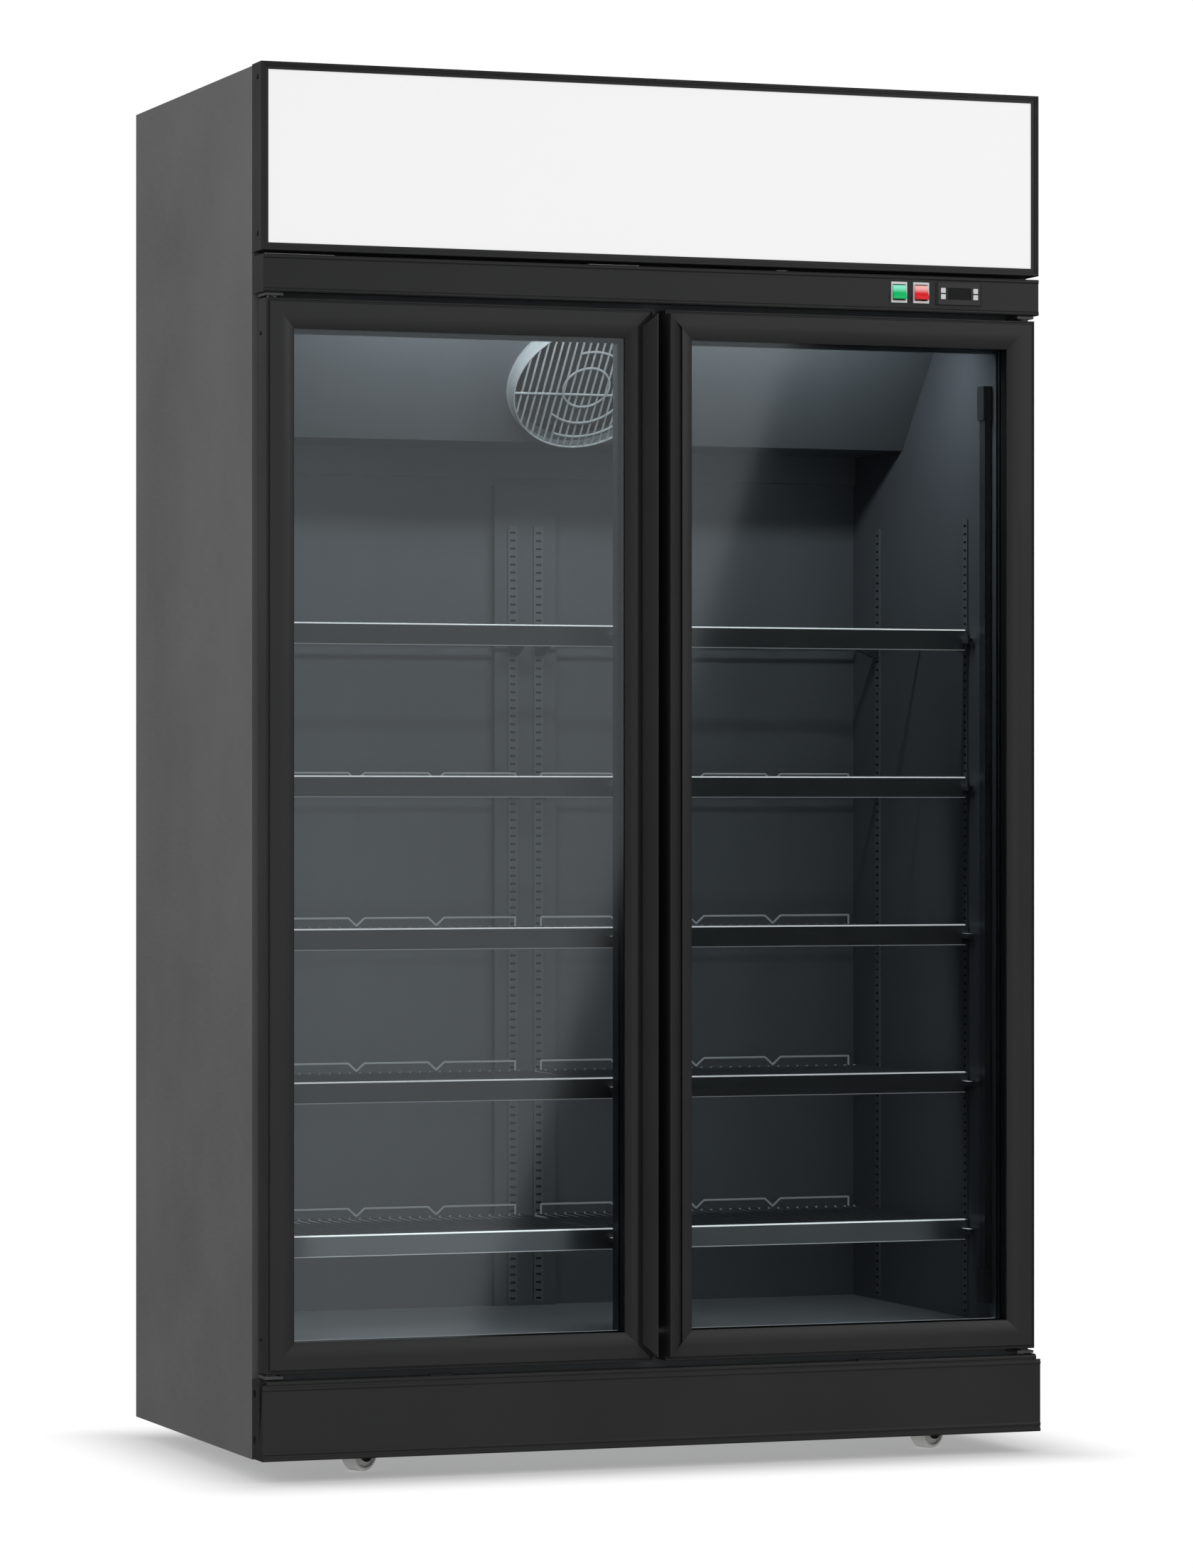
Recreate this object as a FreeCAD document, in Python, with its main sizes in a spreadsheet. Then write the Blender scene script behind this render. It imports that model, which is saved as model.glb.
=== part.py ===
"""Two-door glass display cooler with a lit canopy, a top-mounted cooling unit and swivel castors.

Frame: millimetres, +Z up, the front faces -Y, +X to the right of someone standing at the doors.
The origin is on the floor, under the centre of the overall width and depth.
"""
import FreeCAD, Part
import Sketcher
import math
import os

DOC = FreeCAD.newDocument("glass_door_merchandiser")
SHEET = DOC.addObject("Spreadsheet::Sheet", "Sizes")

DRIVING_SIZES = {
    # overall
    "overall_width": 1200, "overall_depth": 686, "overall_height": 2010,
    # carcass
    "skin": 1, "side_wall": 48, "back_wall": 63, "deck_height": 33, "header_drop": 60,
    "frame_depth": 12, "flange": 18, "side_low": 30, "panel_step": 2, "lining": 1,
    "sill_height": 8, "ceiling_drop": 53,
    # bands of the front, from the top down
    "canopy_height": 267, "canopy_gap": 5.8, "fascia_height": 53, "gap_above_door": 8.2,
    "gap_below_door": 10, "kick_height": 112.9, "kick_low": 31.6,
    "fascia_proud": 3.7, "fascia_inset": 1.7, "kick_proud": 6.5, "bead": 1.4, "sheet_metal": 2,
    # doors
    "door_side_gap": 7, "door_centre_gap": 18, "door_depth": 38.5, "stile_width": 42.5,
    "handle_out": 20.5, "grip_width": 19.5, "grip_edge": 5.3, "groove_end": 25.5,
    "groove_depth": 4, "pane": 4, "pane_front": 8, "seal_depth": 8.5,
    "unit_depth": 24, "glass_hold": 8.5, "gasket_inset": 14, "gasket_width": 16,
    "gasket_gap": 0.3, "pin_side": 13, "pin_back": 15, "pin_radius": 4, "pin_play": 0.05,
    "pin_length": 13, "hinge_plate": 4, "hinge_gap": 3.5,
    # canopy
    "rim_width": 11, "acrylic": 3, "lamp_radius": 13,
    # mullion, pilasters and shelves
    "mullion_width": 80, "mullion_depth": 40, "rail_plate_width": 100, "rail_plate_proud": 12,
    "pilaster_width": 15.4, "pilaster_proud": 2.5, "slot_pitch": 12.3, "slot_width": 8.5,
    "slot_height": 2, "front_pilaster": 157.5, "rear_pilaster_inset": 104,
    "pilaster_low": 6, "slots_above": 13.5, "plate_above": 62, "first_shelf": 150,
    "shelf_count": 5, "shelf_front": 147, "shelf_rear_gap": 22.5,
    "lip_height": 31.5, "lip_over": 7, "lip_sheet": 1.5,
    "shelf_side_gap": 4, "shelf_centre_gap": 12, "grid_wire": 3, "frame_wire": 5,
    "grid_pitch": 16, "weld_flat": 0.3, "stop_height": 15, "peg_low": 21, "peg_height": 7,
    "peg_length": 23, "clip_reach": 40, "clip_height": 19, "clip_width": 12.5,
    # evaporator and its fan
    "cover_top": 354.5, "cover_knee": 196.9, "cover_rise": 183, "cover_sheet": 1.5,
    "drip_strip": 43, "drip_proud": 10, "fan_down_slope": 122, "fan_opening": 104,
    "guard_radius": 111, "guard_proud": 20, "guard_wire": 2.4, "blade_radius": 92,
    "hub_radius": 26,
    # switches and controller
    "bezel_width": 24.9, "bezel_height": 30.5, "green_inset": 226, "red_inset": 191,
    "rocker_width": 20.4, "rocker_height": 20.9, "rocker_play": 0.3, "rocker_sweep": 1.6,
    "controller_width": 73.8, "controller_height": 32.3, "controller_inset": 130.8,
    "control_level": 28, "button_size": 7.2, "button_column": 25.9, "button_row": 4.6,
    # castors
    "wheel_radius": 25, "wheel_width": 28, "axle_radius": 4, "axle_play": 0.05,
    "castor_head": 22, "castor_inset": 156, "castor_front": 103, "castor_rear_inset": 100.5,
    "trail": 27, "castor_yaw": 25, "fork_gap": 1, "fork_sheet": 2.5,
}


class Size:
    """A length that carries both its value and the sheet expression that gives it."""

    def __init__(self, value, text=None):
        self.value = float(value)
        self.text = text if text else f"({self.value!r})"

    def __add__(self, other):
        other = as_size(other)
        return Size(self.value + other.value, f"({self.text} + {other.text})")

    def __sub__(self, other):
        other = as_size(other)
        return Size(self.value - other.value, f"({self.text} - {other.text})")

    def __mul__(self, other):
        other = as_size(other)
        return Size(self.value * other.value, f"({self.text} * {other.text})")

    def __truediv__(self, other):
        other = as_size(other)
        return Size(self.value / other.value, f"({self.text} / {other.text})")

    def __radd__(self, other):
        return as_size(other) + self

    def __rsub__(self, other):
        return as_size(other) - self

    def __rmul__(self, other):
        return as_size(other) * self

    def __neg__(self):
        return as_size(0) - self


def as_size(length):
    return length if isinstance(length, Size) else Size(length)


def whole(length):
    """A size rounded down to a whole number."""
    return Size(math.floor(length.value), f"floor({length.text})")


class Sizes:
    """The driving dimensions, written to the sheet and read back by name."""

    def __init__(self, table):
        for row, (name, value) in enumerate(table.items(), start=1):
            SHEET.set(f"A{row}", name)
            SHEET.set(f"B{row}", str(value))
            SHEET.setAlias(f"B{row}", name)
            setattr(self, name, Size(value, f"Sizes.{name}"))
        DOC.recompute()


s = Sizes(DRIVING_SIZES)

ALONG_X = FreeCAD.Rotation(FreeCAD.Vector(0, 1, 0), FreeCAD.Vector(0, 0, 1),
                           FreeCAD.Vector(1, 0, 0), "XYZ")
ALONG_Y = FreeCAD.Rotation(FreeCAD.Vector(1, 0, 0), FreeCAD.Vector(0, 0, 1),
                           FreeCAD.Vector(0, -1, 0), "XYZ")
ALONG_Z = FreeCAD.Rotation()
NODES = {}


# ---------------------------------------------------------------- drawing helpers

def name_object(obj, name):
    obj.Label = name
    return obj


def put(obj, x=0, y=0, z=0):
    """Bind an object's position to the sheet."""
    for axis, length in zip("xyz", (x, y, z)):
        obj.setExpression(f".Placement.Base.{axis}", as_size(length).text)
    return obj


def box(name, x, y, z):
    """A plate or bar that fills the space between two planes on each axis."""
    obj = name_object(DOC.addObject("Part::Box", name), name)
    for side, (low, high) in zip(("Length", "Width", "Height"), (x, y, z)):
        obj.setExpression(side, (as_size(high) - low).text)
    return put(obj, x[0], y[0], z[0])


def cylinder(name, radius, length, place, rotation=ALONG_Z):
    """A round bar that starts at place and runs along the rotated Z axis."""
    obj = name_object(DOC.addObject("Part::Cylinder", name), name)
    obj.setExpression("Radius", as_size(radius).text)
    obj.setExpression("Height", as_size(length).text)
    obj.Placement = FreeCAD.Placement(FreeCAD.Vector(), rotation)
    return put(obj, *place)


def fuse(name, parts):
    obj = name_object(DOC.addObject("Part::MultiFuse", name), name)
    obj.Shapes = parts
    return obj


def cut(name, base, tools):
    """The base with every tool taken away; the tools are clear of each other."""
    obj = name_object(DOC.addObject("Part::Cut", name), name)
    obj.Base = base
    obj.Tool = tools[0] if len(tools) == 1 else group(f"{name}_tools", tools)
    return obj


def group(name, parts):
    obj = name_object(DOC.addObject("Part::Compound", name), name)
    obj.Links = parts
    return obj


def outline(sketch, points):
    """A closed outline of straight edges whose corners are bound to the sheet.

    A third entry on a point is the radius of an arc that runs from it to the next point,
    positive where the arc bulges to the left of the way there.
    """
    count = len(points)
    for index, point in enumerate(points):
        follow = points[(index + 1) % count]
        start = FreeCAD.Vector(as_size(point[0]).value, as_size(point[1]).value, 0)
        stop = FreeCAD.Vector(as_size(follow[0]).value, as_size(follow[1]).value, 0)
        sketch.addGeometry(edge_between(start, stop, point[2] if len(point) > 2 else 0), False)
    for index, point in enumerate(points):
        if len(point) > 2 or len(points[index - 1]) > 2:
            continue
        for kind, length in (("DistanceX", point[0]), ("DistanceY", point[1])):
            length = as_size(length)
            rule = Sketcher.Constraint(kind, -1, 1, index, 1, length.value)
            number = sketch.addConstraint(rule)
            sketch.setExpression(f"Constraints[{number}]", length.text)
    return sketch


def edge_between(start, stop, radius):
    if not radius:
        return Part.LineSegment(start, stop)
    chord = stop - start
    half = chord.Length / 2
    rise = abs(radius) - math.sqrt(radius * radius - half * half)
    left = FreeCAD.Vector(-chord.y, chord.x, 0).normalize()
    middle = (start + stop) / 2 + left * math.copysign(rise, radius)
    return Part.Arc(start, middle, stop)


def body_sketch(name):
    """A part-design body with one sketch on its own XY plane."""
    body = name_object(DOC.addObject("PartDesign::Body", f"{name}_body"), name)
    sketch = body.newObject("Sketcher::SketchObject", f"{name}_sketch")
    plane = [item for item in body.Origin.OriginFeatures if item.Role == "XY_Plane"][0]
    sketch.AttachmentSupport = (plane, [""])
    sketch.MapMode = "FlatFace"
    return body, sketch


def pad(name, points, rotation, length, place=(0, 0, 0)):
    """An outline extruded along the rotated Z axis."""
    body, sketch = body_sketch(name)
    outline(sketch, points)
    feature = body.newObject("PartDesign::Pad", f"{name}_pad")
    feature.Profile = sketch
    feature.setExpression("Length", as_size(length).text)
    body.Placement = FreeCAD.Placement(FreeCAD.Vector(), rotation)
    return put(body, *place)


def pad_x(name, points, low, high):
    """A (y, z) outline that runs between two planes across X."""
    return pad(name, points, ALONG_X, as_size(high) - low, (low, 0, 0))


def pad_z(name, points, low, high):
    """An (x, y) outline that runs between two levels."""
    return pad(name, points, ALONG_Z, as_size(high) - low, (0, 0, low))


def turned(name, points, placement):
    """A (radius, height) outline turned about the local Y axis."""
    body, sketch = body_sketch(name)
    outline(sketch, points)
    feature = body.newObject("PartDesign::Revolution", f"{name}_turn")
    feature.Profile = sketch
    feature.ReferenceAxis = (sketch, ["V_Axis"])
    feature.Angle = 360
    body.Placement = placement
    return body


def mitred_frame(name, section, x, z):
    """A (y, inset) section carried round the rectangle x by z, with mitred corners."""
    path = name_object(DOC.addObject("Sketcher::SketchObject", f"{name}_path"), f"{name}_path")
    path.Placement = FreeCAD.Placement(FreeCAD.Vector(), ALONG_Y)
    left, right, low, high = (as_size(side).value for side in (*x, *z))
    middle = (left + right) / 2
    corners = [(middle, low), (right, low), (right, high), (left, high), (left, low)]
    for index, corner in enumerate(corners):
        follow = corners[(index + 1) % len(corners)]
        path.addGeometry(Part.LineSegment(FreeCAD.Vector(*corner, 0),
                                          FreeCAD.Vector(*follow, 0)), False)
    profile = name_object(DOC.addObject("Sketcher::SketchObject", f"{name}_section"),
                          f"{name}_section")
    profile.Placement = FreeCAD.Placement(FreeCAD.Vector(middle, 0, low), ALONG_X)
    outline(profile, section)
    sweep = name_object(DOC.addObject("Part::Sweep", name), name)
    sweep.Sections = [profile]
    sweep.Spine = (path, [f"Edge{index + 1}" for index in range(len(corners))])
    sweep.Solid = True
    sweep.Transition = "Right corner"
    return sweep


def made(name, shape, placement=FreeCAD.Placement()):
    """A shape worked out by code, for what no feature draws."""
    obj = name_object(DOC.addObject("Part::Feature", name), name)
    obj.Shape = shape
    obj.Placement = placement
    return obj


def keep(name, *parts):
    """Register a sub-part under its node name; several solids are kept side by side."""
    obj = parts[0] if len(parts) == 1 else group(name, list(parts))
    obj.Label = name
    NODES[name] = obj
    return obj


def mirrored(span, side):
    """A span on +X, carried to the side that is asked for."""
    low, high = span
    return (low, high) if side > 0 else (-as_size(high), -as_size(low))


SIDES = {"left": -1, "right": 1}

# ---------------------------------------------------------------- main planes

HALF = s.overall_width / 2
BACK = s.overall_depth / 2
FACE = -BACK + s.handle_out            # front of the doors and of the canopy
CARCASS = FACE + s.door_depth + s.seal_depth     # front of the insulated box
INSIDE_FRONT = CARCASS + s.skin + s.frame_depth
INSIDE_BACK = BACK - s.back_wall
INSIDE_X = HALF - s.side_wall

CANOPY_LOW = s.overall_height - s.canopy_height
FASCIA_HIGH = CANOPY_LOW - s.canopy_gap
FASCIA_LOW = FASCIA_HIGH - s.fascia_height
DOOR_HIGH = FASCIA_LOW - s.gap_above_door
KICK_HIGH = s.kick_low + s.kick_height
DOOR_LOW = KICK_HIGH + s.gap_below_door
FLOOR = DOOR_LOW + s.deck_height
CEILING = CANOPY_LOW - s.ceiling_drop
HEADER = CEILING - s.header_drop
PANEL_HIGH = s.overall_height - s.panel_step
CASTOR_HIGH = s.wheel_radius * 2 + s.castor_head
CASTOR_SIDE = HALF - s.castor_inset

COVER_LOW = CEILING - s.cover_rise - s.drip_strip
LAST_SHELF = COVER_LOW - 12 - s.plate_above - s.slot_pitch * s.slots_above
SHELF_RANGE = LAST_SHELF - FLOOR - s.first_shelf
SHELF_PITCH = s.slot_pitch * whole(SHELF_RANGE / (s.shelf_count - 1) / s.slot_pitch)
REAR_PILASTER = INSIDE_BACK - s.rear_pilaster_inset
SHELF_REAR = INSIDE_BACK - s.shelf_rear_gap
COVER_TOP = INSIDE_BACK - s.cover_top
COVER_KNEE = INSIDE_BACK - s.cover_knee


def from_face(distance):
    """A depth measured back from the front of the doors."""
    return FACE + distance


def lip_top(level):
    """Top of the front rail of one shelf, counted from 0 at the bottom."""
    return FLOOR + s.first_shelf + SHELF_PITCH * level


def deck_top(level):
    return lip_top(level) - s.lip_over


# ---------------------------------------------------------------- carcass

def side_panels():
    """Folded outer sheets: the flat side, a front flange and a back flange."""
    for label, side in SIDES.items():
        sheet = box(f"side_sheet_{label}", mirrored((HALF - s.skin, HALF), side),
                    (CARCASS, BACK), (s.side_low, PANEL_HIGH))
        front = box(f"side_front_flange_{label}", mirrored((HALF - s.flange, HALF), side),
                    (CARCASS, CARCASS + s.skin), (s.side_low, PANEL_HIGH))
        back = box(f"side_back_flange_{label}", mirrored((HALF - s.flange, HALF), side),
                   (BACK - s.skin, BACK), (s.side_low, PANEL_HIGH))
        keep(f"side_panel_{label}", fuse(f"side_folded_{label}", [sheet, front, back]))


def back_panel():
    across = HALF - s.flange
    keep("back_panel", box("back_sheet", (-across, across), (BACK - s.skin, BACK),
                           (CASTOR_HIGH, CANOPY_LOW)))


def unit_covers():
    """Vented rear and top sheets of the machine compartment, and the deck under it."""
    across = HALF - s.flange
    rear = box("unit_rear_sheet", (-across, across), (BACK - s.skin, BACK),
               (CANOPY_LOW, PANEL_HIGH))
    louvres = []
    for column in range(4):
        for row in range(12):
            x = (column - 1.5) * 250
            z = CANOPY_LOW + 40 + row * 17
            louvres.append(box(f"louvre_{column}_{row}", (as_size(x - 90), as_size(x + 90)),
                               (BACK - 5, BACK + 5), (z, z + 6)))
    inner = HALF - s.skin
    front = CARCASS + s.skin
    top = box("unit_top_sheet", (-inner, inner), (front, BACK - s.skin),
              (PANEL_HIGH - s.skin, PANEL_HIGH))
    slots = []
    for column in range(3):
        for row in range(10):
            x = (column - 1) * 340
            y = front + 110 + row * 40
            slots.append(box(f"top_slot_{column}_{row}", (as_size(x - 130), as_size(x + 130)),
                             (y, y + 8), (PANEL_HIGH - 5, PANEL_HIGH + 5)))
    deck = box("unit_deck", (-inner, inner), (front, BACK - s.skin),
               (CANOPY_LOW - s.skin, CANOPY_LOW))
    keep("unit_covers", cut("unit_rear", rear, louvres), cut("unit_top", top, slots), deck)


def base_pan():
    """Bottom sheet with a rib along each side."""
    inner = HALF - s.skin
    sheet = box("base_sheet", (-inner, inner), (CARCASS + s.skin, BACK - s.skin),
                (CASTOR_HIGH, CASTOR_HIGH + s.sheet_metal))
    ribs = []
    for label, side in SIDES.items():
        ribs.append(box(f"base_rib_{label}", mirrored((CASTOR_SIDE - 95, CASTOR_SIDE - 65), side),
                        (CARCASS + 30, BACK - 30), (CASTOR_HIGH - 18, CASTOR_HIGH)))
    keep("base_pan", fuse("base_pan_sheet", [sheet, *ribs]))


def insulation():
    """Foam slabs between the outer sheets and the lining."""
    outer = HALF - s.skin
    inner = INSIDE_X + s.lining
    low = CASTOR_HIGH + s.sheet_metal
    high = CANOPY_LOW - s.skin
    rear = (INSIDE_BACK + s.lining, BACK - s.skin)
    depth = (INSIDE_FRONT, BACK - s.skin)
    slabs = [box(f"foam_{label}", mirrored((inner, outer), side), depth, (low, high))
             for label, side in SIDES.items()]
    slabs.append(box("foam_back", (-inner, inner), rear, (low, high)))
    between = (INSIDE_FRONT, INSIDE_BACK + s.lining)
    slabs.append(box("foam_floor", (-inner, inner), between, (low, FLOOR - s.lining)))
    slabs.append(box("foam_top", (-inner, inner), between, (CEILING + s.lining, high)))
    keep("insulation", *slabs)


def lining():
    """Folded white-grey inner sheet and the separate floor tray with its front sill."""
    outer = INSIDE_X + s.lining
    shell = box("lining_outside", (-outer, outer), (INSIDE_FRONT, INSIDE_BACK + s.lining),
                (FLOOR - s.lining, CEILING + s.lining))
    hollow = box("lining_inside", (-INSIDE_X, INSIDE_X), (INSIDE_FRONT - 5, INSIDE_BACK),
                 (FLOOR - 5, CEILING))
    keep("inner_liner", cut("lining_sheet", shell, [hollow]))
    tray = box("floor_sheet", (-INSIDE_X, INSIDE_X), (INSIDE_FRONT, INSIDE_BACK),
               (FLOOR - s.lining, FLOOR))
    keep("floor_pan", tray)


def front_frame():
    """Moulded breaker frame that covers the front of the foam all round the opening."""
    outer = HALF - s.skin
    depth = (CARCASS + s.skin, INSIDE_FRONT)
    slab = box("breaker_slab", (-outer, outer), depth,
               (CASTOR_HIGH + s.sheet_metal, CANOPY_LOW - s.skin))
    opening = box("breaker_opening", (-INSIDE_X, INSIDE_X),
                  (CARCASS - 5, INSIDE_FRONT + 5), (FLOOR + s.sill_height, HEADER))
    keep("front_frame", cut("breaker_frame", slab, [opening]))


def mullion():
    """Centre post between the doors, with an angle foot on each side."""
    half = s.mullion_width / 2
    front = CARCASS + s.skin
    post = box("mullion_post", (-half, half), (front, front + s.mullion_depth),
               (FLOOR + s.sill_height, HEADER))
    parts = [post]
    for label, side in SIDES.items():
        flat = box(f"foot_flat_{label}", mirrored((half, half + 20), side),
                   (INSIDE_FRONT + 2, INSIDE_FRONT + 24), (FLOOR, FLOOR + 2))
        upright = box(f"foot_upright_{label}", mirrored((half, half + 2), side),
                      (INSIDE_FRONT + 2, INSIDE_FRONT + 24), (FLOOR, FLOOR + 20))
        parts.append(fuse(f"mullion_foot_{label}", [flat, upright]))
    keep("mullion", *parts)


# ---------------------------------------------------------------- shelf supports

PILASTER_HIGH = lip_top(s.shelf_count - 1) + s.slot_pitch * s.slots_above
MULLION_BACK = CARCASS + s.skin + s.mullion_depth
PLATE_FRONT = INSIDE_BACK - s.rail_plate_proud


def rail_plate():
    """Boxed cover on the back wall that carries the two middle pilasters."""
    half = s.rail_plate_width / 2
    sheet = 1.2
    high = PILASTER_HIGH + s.plate_above
    shell = box("rail_plate_outside", (-half, half), (PLATE_FRONT, INSIDE_BACK), (FLOOR, high))
    hollow = box("rail_plate_inside", (-half + sheet, half - sheet),
                 (PLATE_FRONT + sheet, INSIDE_BACK + 5), (FLOOR - 5, high - sheet))
    keep("rail_plate", cut("rail_plate_sheet", shell, [hollow]))


def pilaster_slots(name, x, y):
    """Slots that go right through a strip, one every pitch."""
    count = int((PILASTER_HIGH.value - FLOOR.value - s.pilaster_low.value) / s.slot_pitch.value)
    tools = []
    for index in range(count):
        z = FLOOR + s.pilaster_low + 4 + s.slot_pitch * index
        tools.append(box(f"{name}_slot_{index}", x, y, (z, z + s.slot_height)))
    return tools


def pilasters():
    """Slotted strips: two on each side wall, two on the back cover, two behind the mullion."""
    half = s.pilaster_width / 2
    slot = s.slot_width / 2
    levels = (FLOOR + s.pilaster_low, PILASTER_HIGH)
    strips = []
    for label, side in SIDES.items():
        for row, centre in (("front", from_face(s.front_pilaster)), ("rear", REAR_PILASTER)):
            name = f"pilaster_{label}_{row}"
            wall = mirrored((INSIDE_X - s.pilaster_proud, INSIDE_X), side)
            through = mirrored((INSIDE_X - 5, INSIDE_X - 1), side)
            strip = box(f"{name}_strip", wall, (centre - half, centre + half), levels)
            strips.append(cut(name, strip, pilaster_slots(name, through,
                                                          (centre - slot, centre + slot))))
        centre = as_size(21) * side
        for row, face, toward in (("back", PLATE_FRONT, -1), ("mullion", MULLION_BACK, 1)):
            name = f"pilaster_{label}_{row}"
            if toward < 0:
                depth, through = (face - s.pilaster_proud, face), (face - 5, face - 1)
            else:
                depth, through = (face, face + s.pilaster_proud), (face + 1, face + 5)
            strip = box(f"{name}_strip", (centre - half, centre + half), depth, levels)
            strips.append(cut(name, strip, pilaster_slots(name, (centre - slot, centre + slot),
                                                          through)))
    keep("shelf_pilasters", *strips)


def clip_profile():
    """Side view of a shelf clip: deep at the top, short at the bottom."""
    return [(0, 0), (0, s.clip_height), (s.clip_reach, s.clip_height),
            (s.clip_reach, s.clip_height - 5), (as_size(9), 0)]


def shelf_clip(name, x, y, z, turn):
    """One clip that stands out of a pilaster; turn is the way it points, from +X."""
    rotation = FreeCAD.Rotation(FreeCAD.Vector(0, 0, 1), turn).multiply(ALONG_Y)
    body = pad(name, clip_profile(), rotation, s.clip_width)
    radians = math.radians(turn)
    return put(body, x - s.clip_width * (math.sin(radians) / 2),
               y + s.clip_width * (math.cos(radians) / 2), z)


def clip_top(level):
    """The deck's cross wires rest on the clips."""
    return deck_top(level) - s.grid_wire - s.frame_wire + s.weld_flat * 2


def shelf_clips():
    """Eight equal clips under every level; the shelf's front pegs rest on the mullion's."""
    clips = []
    for level in range(int(s.shelf_count.value)):
        z = clip_top(level) - s.clip_height
        z_mullion = lip_top(level) - s.peg_low - s.clip_height
        for label, side in SIDES.items():
            for row, y in (("front", from_face(s.front_pilaster)), ("rear", REAR_PILASTER)):
                x = (INSIDE_X - s.pilaster_proud) * side
                clips.append(shelf_clip(f"clip_{level}_{label}_{row}", x, y, z,
                                        180 if side > 0 else 0))
            x = as_size(21) * side
            clips.append(shelf_clip(f"clip_{level}_{label}_back", x,
                                    PLATE_FRONT - s.pilaster_proud, z, -90))
            clips.append(shelf_clip(f"clip_{level}_{label}_mullion", x,
                                    MULLION_BACK + s.pilaster_proud, z_mullion, 90))
    keep("shelf_clips", *clips)


# ---------------------------------------------------------------- shelves

def shelf_span():
    """The x range of the right-hand shelf."""
    return s.shelf_centre_gap, INSIDE_X - s.pilaster_proud - s.shelf_side_gap


def wire(start, stop, radius):
    """A straight round wire between two points."""
    along = stop - start
    return Part.makeCylinder(radius, along.Length, start, along)


def half_space(wire_shape, level, above):
    """The part of a wire above or below a level, which leaves it a narrow flat."""
    bounds = wire_shape.BoundBox
    low = level if above else bounds.ZMin - 1
    high = bounds.ZMax + 1 if above else level
    keep_box = Part.makeBox(bounds.XLength + 2, bounds.YLength + 2, high - low,
                            FreeCAD.Vector(bounds.XMin - 1, bounds.YMin - 1, low))
    return wire_shape.common(keep_box)


def deck_shape():
    """Grid of thin wires welded over thick cross wires, from x = 0, with its top at z = 0.

    Every wire has a narrow flat at the weld level, so that the two layers meet on flats.
    """
    low, high = shelf_span()
    width = (high - low).value
    front = from_face(s.shelf_front + s.lip_sheet).value
    rear = SHELF_REAR.value
    thin = s.grid_wire.value / 2
    thick = s.frame_wire.value / 2
    flat = s.weld_flat.value
    weld = flat - 2 * thin
    rows = [from_face(s.front_pilaster).value, REAR_PILASTER.value, rear - thick]
    rows.append((rows[0] + rows[1]) / 2)
    wires = []
    for y in rows:
        z = weld + flat - thick
        cross = wire(FreeCAD.Vector(0, y, z), FreeCAD.Vector(width, y, z), thick)
        wires.append(half_space(cross, weld, above=False))
    count = int((width - 2 * thin) / s.grid_pitch.value)
    pitch = (width - 2 * thin) / count
    for index in range(count + 1):
        x = thin + pitch * index
        bar = wire(FreeCAD.Vector(x, front, -thin), FreeCAD.Vector(x, rear, -thin), thin)
        wires.append(half_space(bar, weld, above=True))
    return wires[0].multiFuse(wires[1:])


def stop_shape(side):
    """Bent back-stop wire: raised runs with a dip between each, down to the deck."""
    low, high = (edge.value for edge in shelf_span())
    radius = s.grid_wire.value / 2
    y = (SHELF_REAR - s.frame_wire / 2).value
    rise = s.stop_height.value - radius
    foot = s.weld_flat.value - 2 * radius
    start, stop = low + 9, high - 12
    runs = 4
    length = (stop - start) / runs
    points = [(start, foot), (start, rise)]
    for run in range(1, runs):
        dip = start + run * length
        points += [(dip - 13, rise), (dip, radius + 0.3), (dip + 13, rise)]
    points += [(stop, rise), (stop, foot)]
    bends = [FreeCAD.Vector(x * side, y, z) for x, z in points]
    path = Part.makePolygon(bends)
    ring = Part.Wire(Part.makeCircle(radius, bends[0], FreeCAD.Vector(0, 0, 1)))
    return path.makePipeShell([ring], True, False, 2)


def lip_points():
    """Section of the front rail: a flat face with a rolled top edge and a hem below."""
    front = from_face(s.shelf_front)
    back = front + s.lip_sheet
    return [(front, -s.lip_height), (front, -2), (front + 0.6, -0.5), (front + 1.6, 0),
            (front + 5, 0), (front + 5, -1.4), (front + 2, -1.8), (back, -3),
            (back, 1.5 - s.lip_height), (front + 3.5, 1.5 - s.lip_height),
            (front + 3.5, -s.lip_height)]


def shelf_rail(name, level, side):
    """Front rail of one shelf with an end cap and a square peg near each end."""
    low, high = shelf_span()
    front = from_face(s.shelf_front)
    top = lip_top(level)
    span = mirrored((low, high), side)
    rail = put(pad_x(f"{name}_rail", lip_points(), span[0], span[1]), span[0], 0, top)
    cap = box(f"{name}_cap", mirrored((high, high + 2.5), side), (front - 3, front + 3.5),
              (top - s.lip_height + 2, top - 1))
    pegs = []
    for end, x in (("inner", (low + 3, low + 12)), ("outer", (high - 6, high + 2.5))):
        pegs.append(box(f"{name}_peg_{end}", mirrored(x, side), (front - s.peg_length, front),
                        (top - s.peg_low, top - s.peg_low + s.peg_height)))
    return fuse(f"{name}_front", [rail, cap, *pegs])


def shelf_levels():
    """Each level: a left and a right shelf of deck, back stop and front rail."""
    deck = deck_shape()
    stops = {label: stop_shape(side) for label, side in SIDES.items()}
    low, high = shelf_span()
    for level in range(int(s.shelf_count.value)):
        solids = []
        for label, side in SIDES.items():
            span = mirrored((low, high), side)
            z = deck_top(level).value
            at_deck = FreeCAD.Placement(FreeCAD.Vector(as_size(span[0]).value, 0, z), ALONG_Z)
            at_stop = FreeCAD.Placement(FreeCAD.Vector(0, 0, z), ALONG_Z)
            solids.append(made(f"deck_{label}_{level}", deck, at_deck))
            solids.append(made(f"stop_{label}_{level}", stops[label], at_stop))
            solids.append(shelf_rail(f"shelf_{label}_{level}", level, side))
        keep(f"shelf_level_{level + 1}", *solids)


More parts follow.
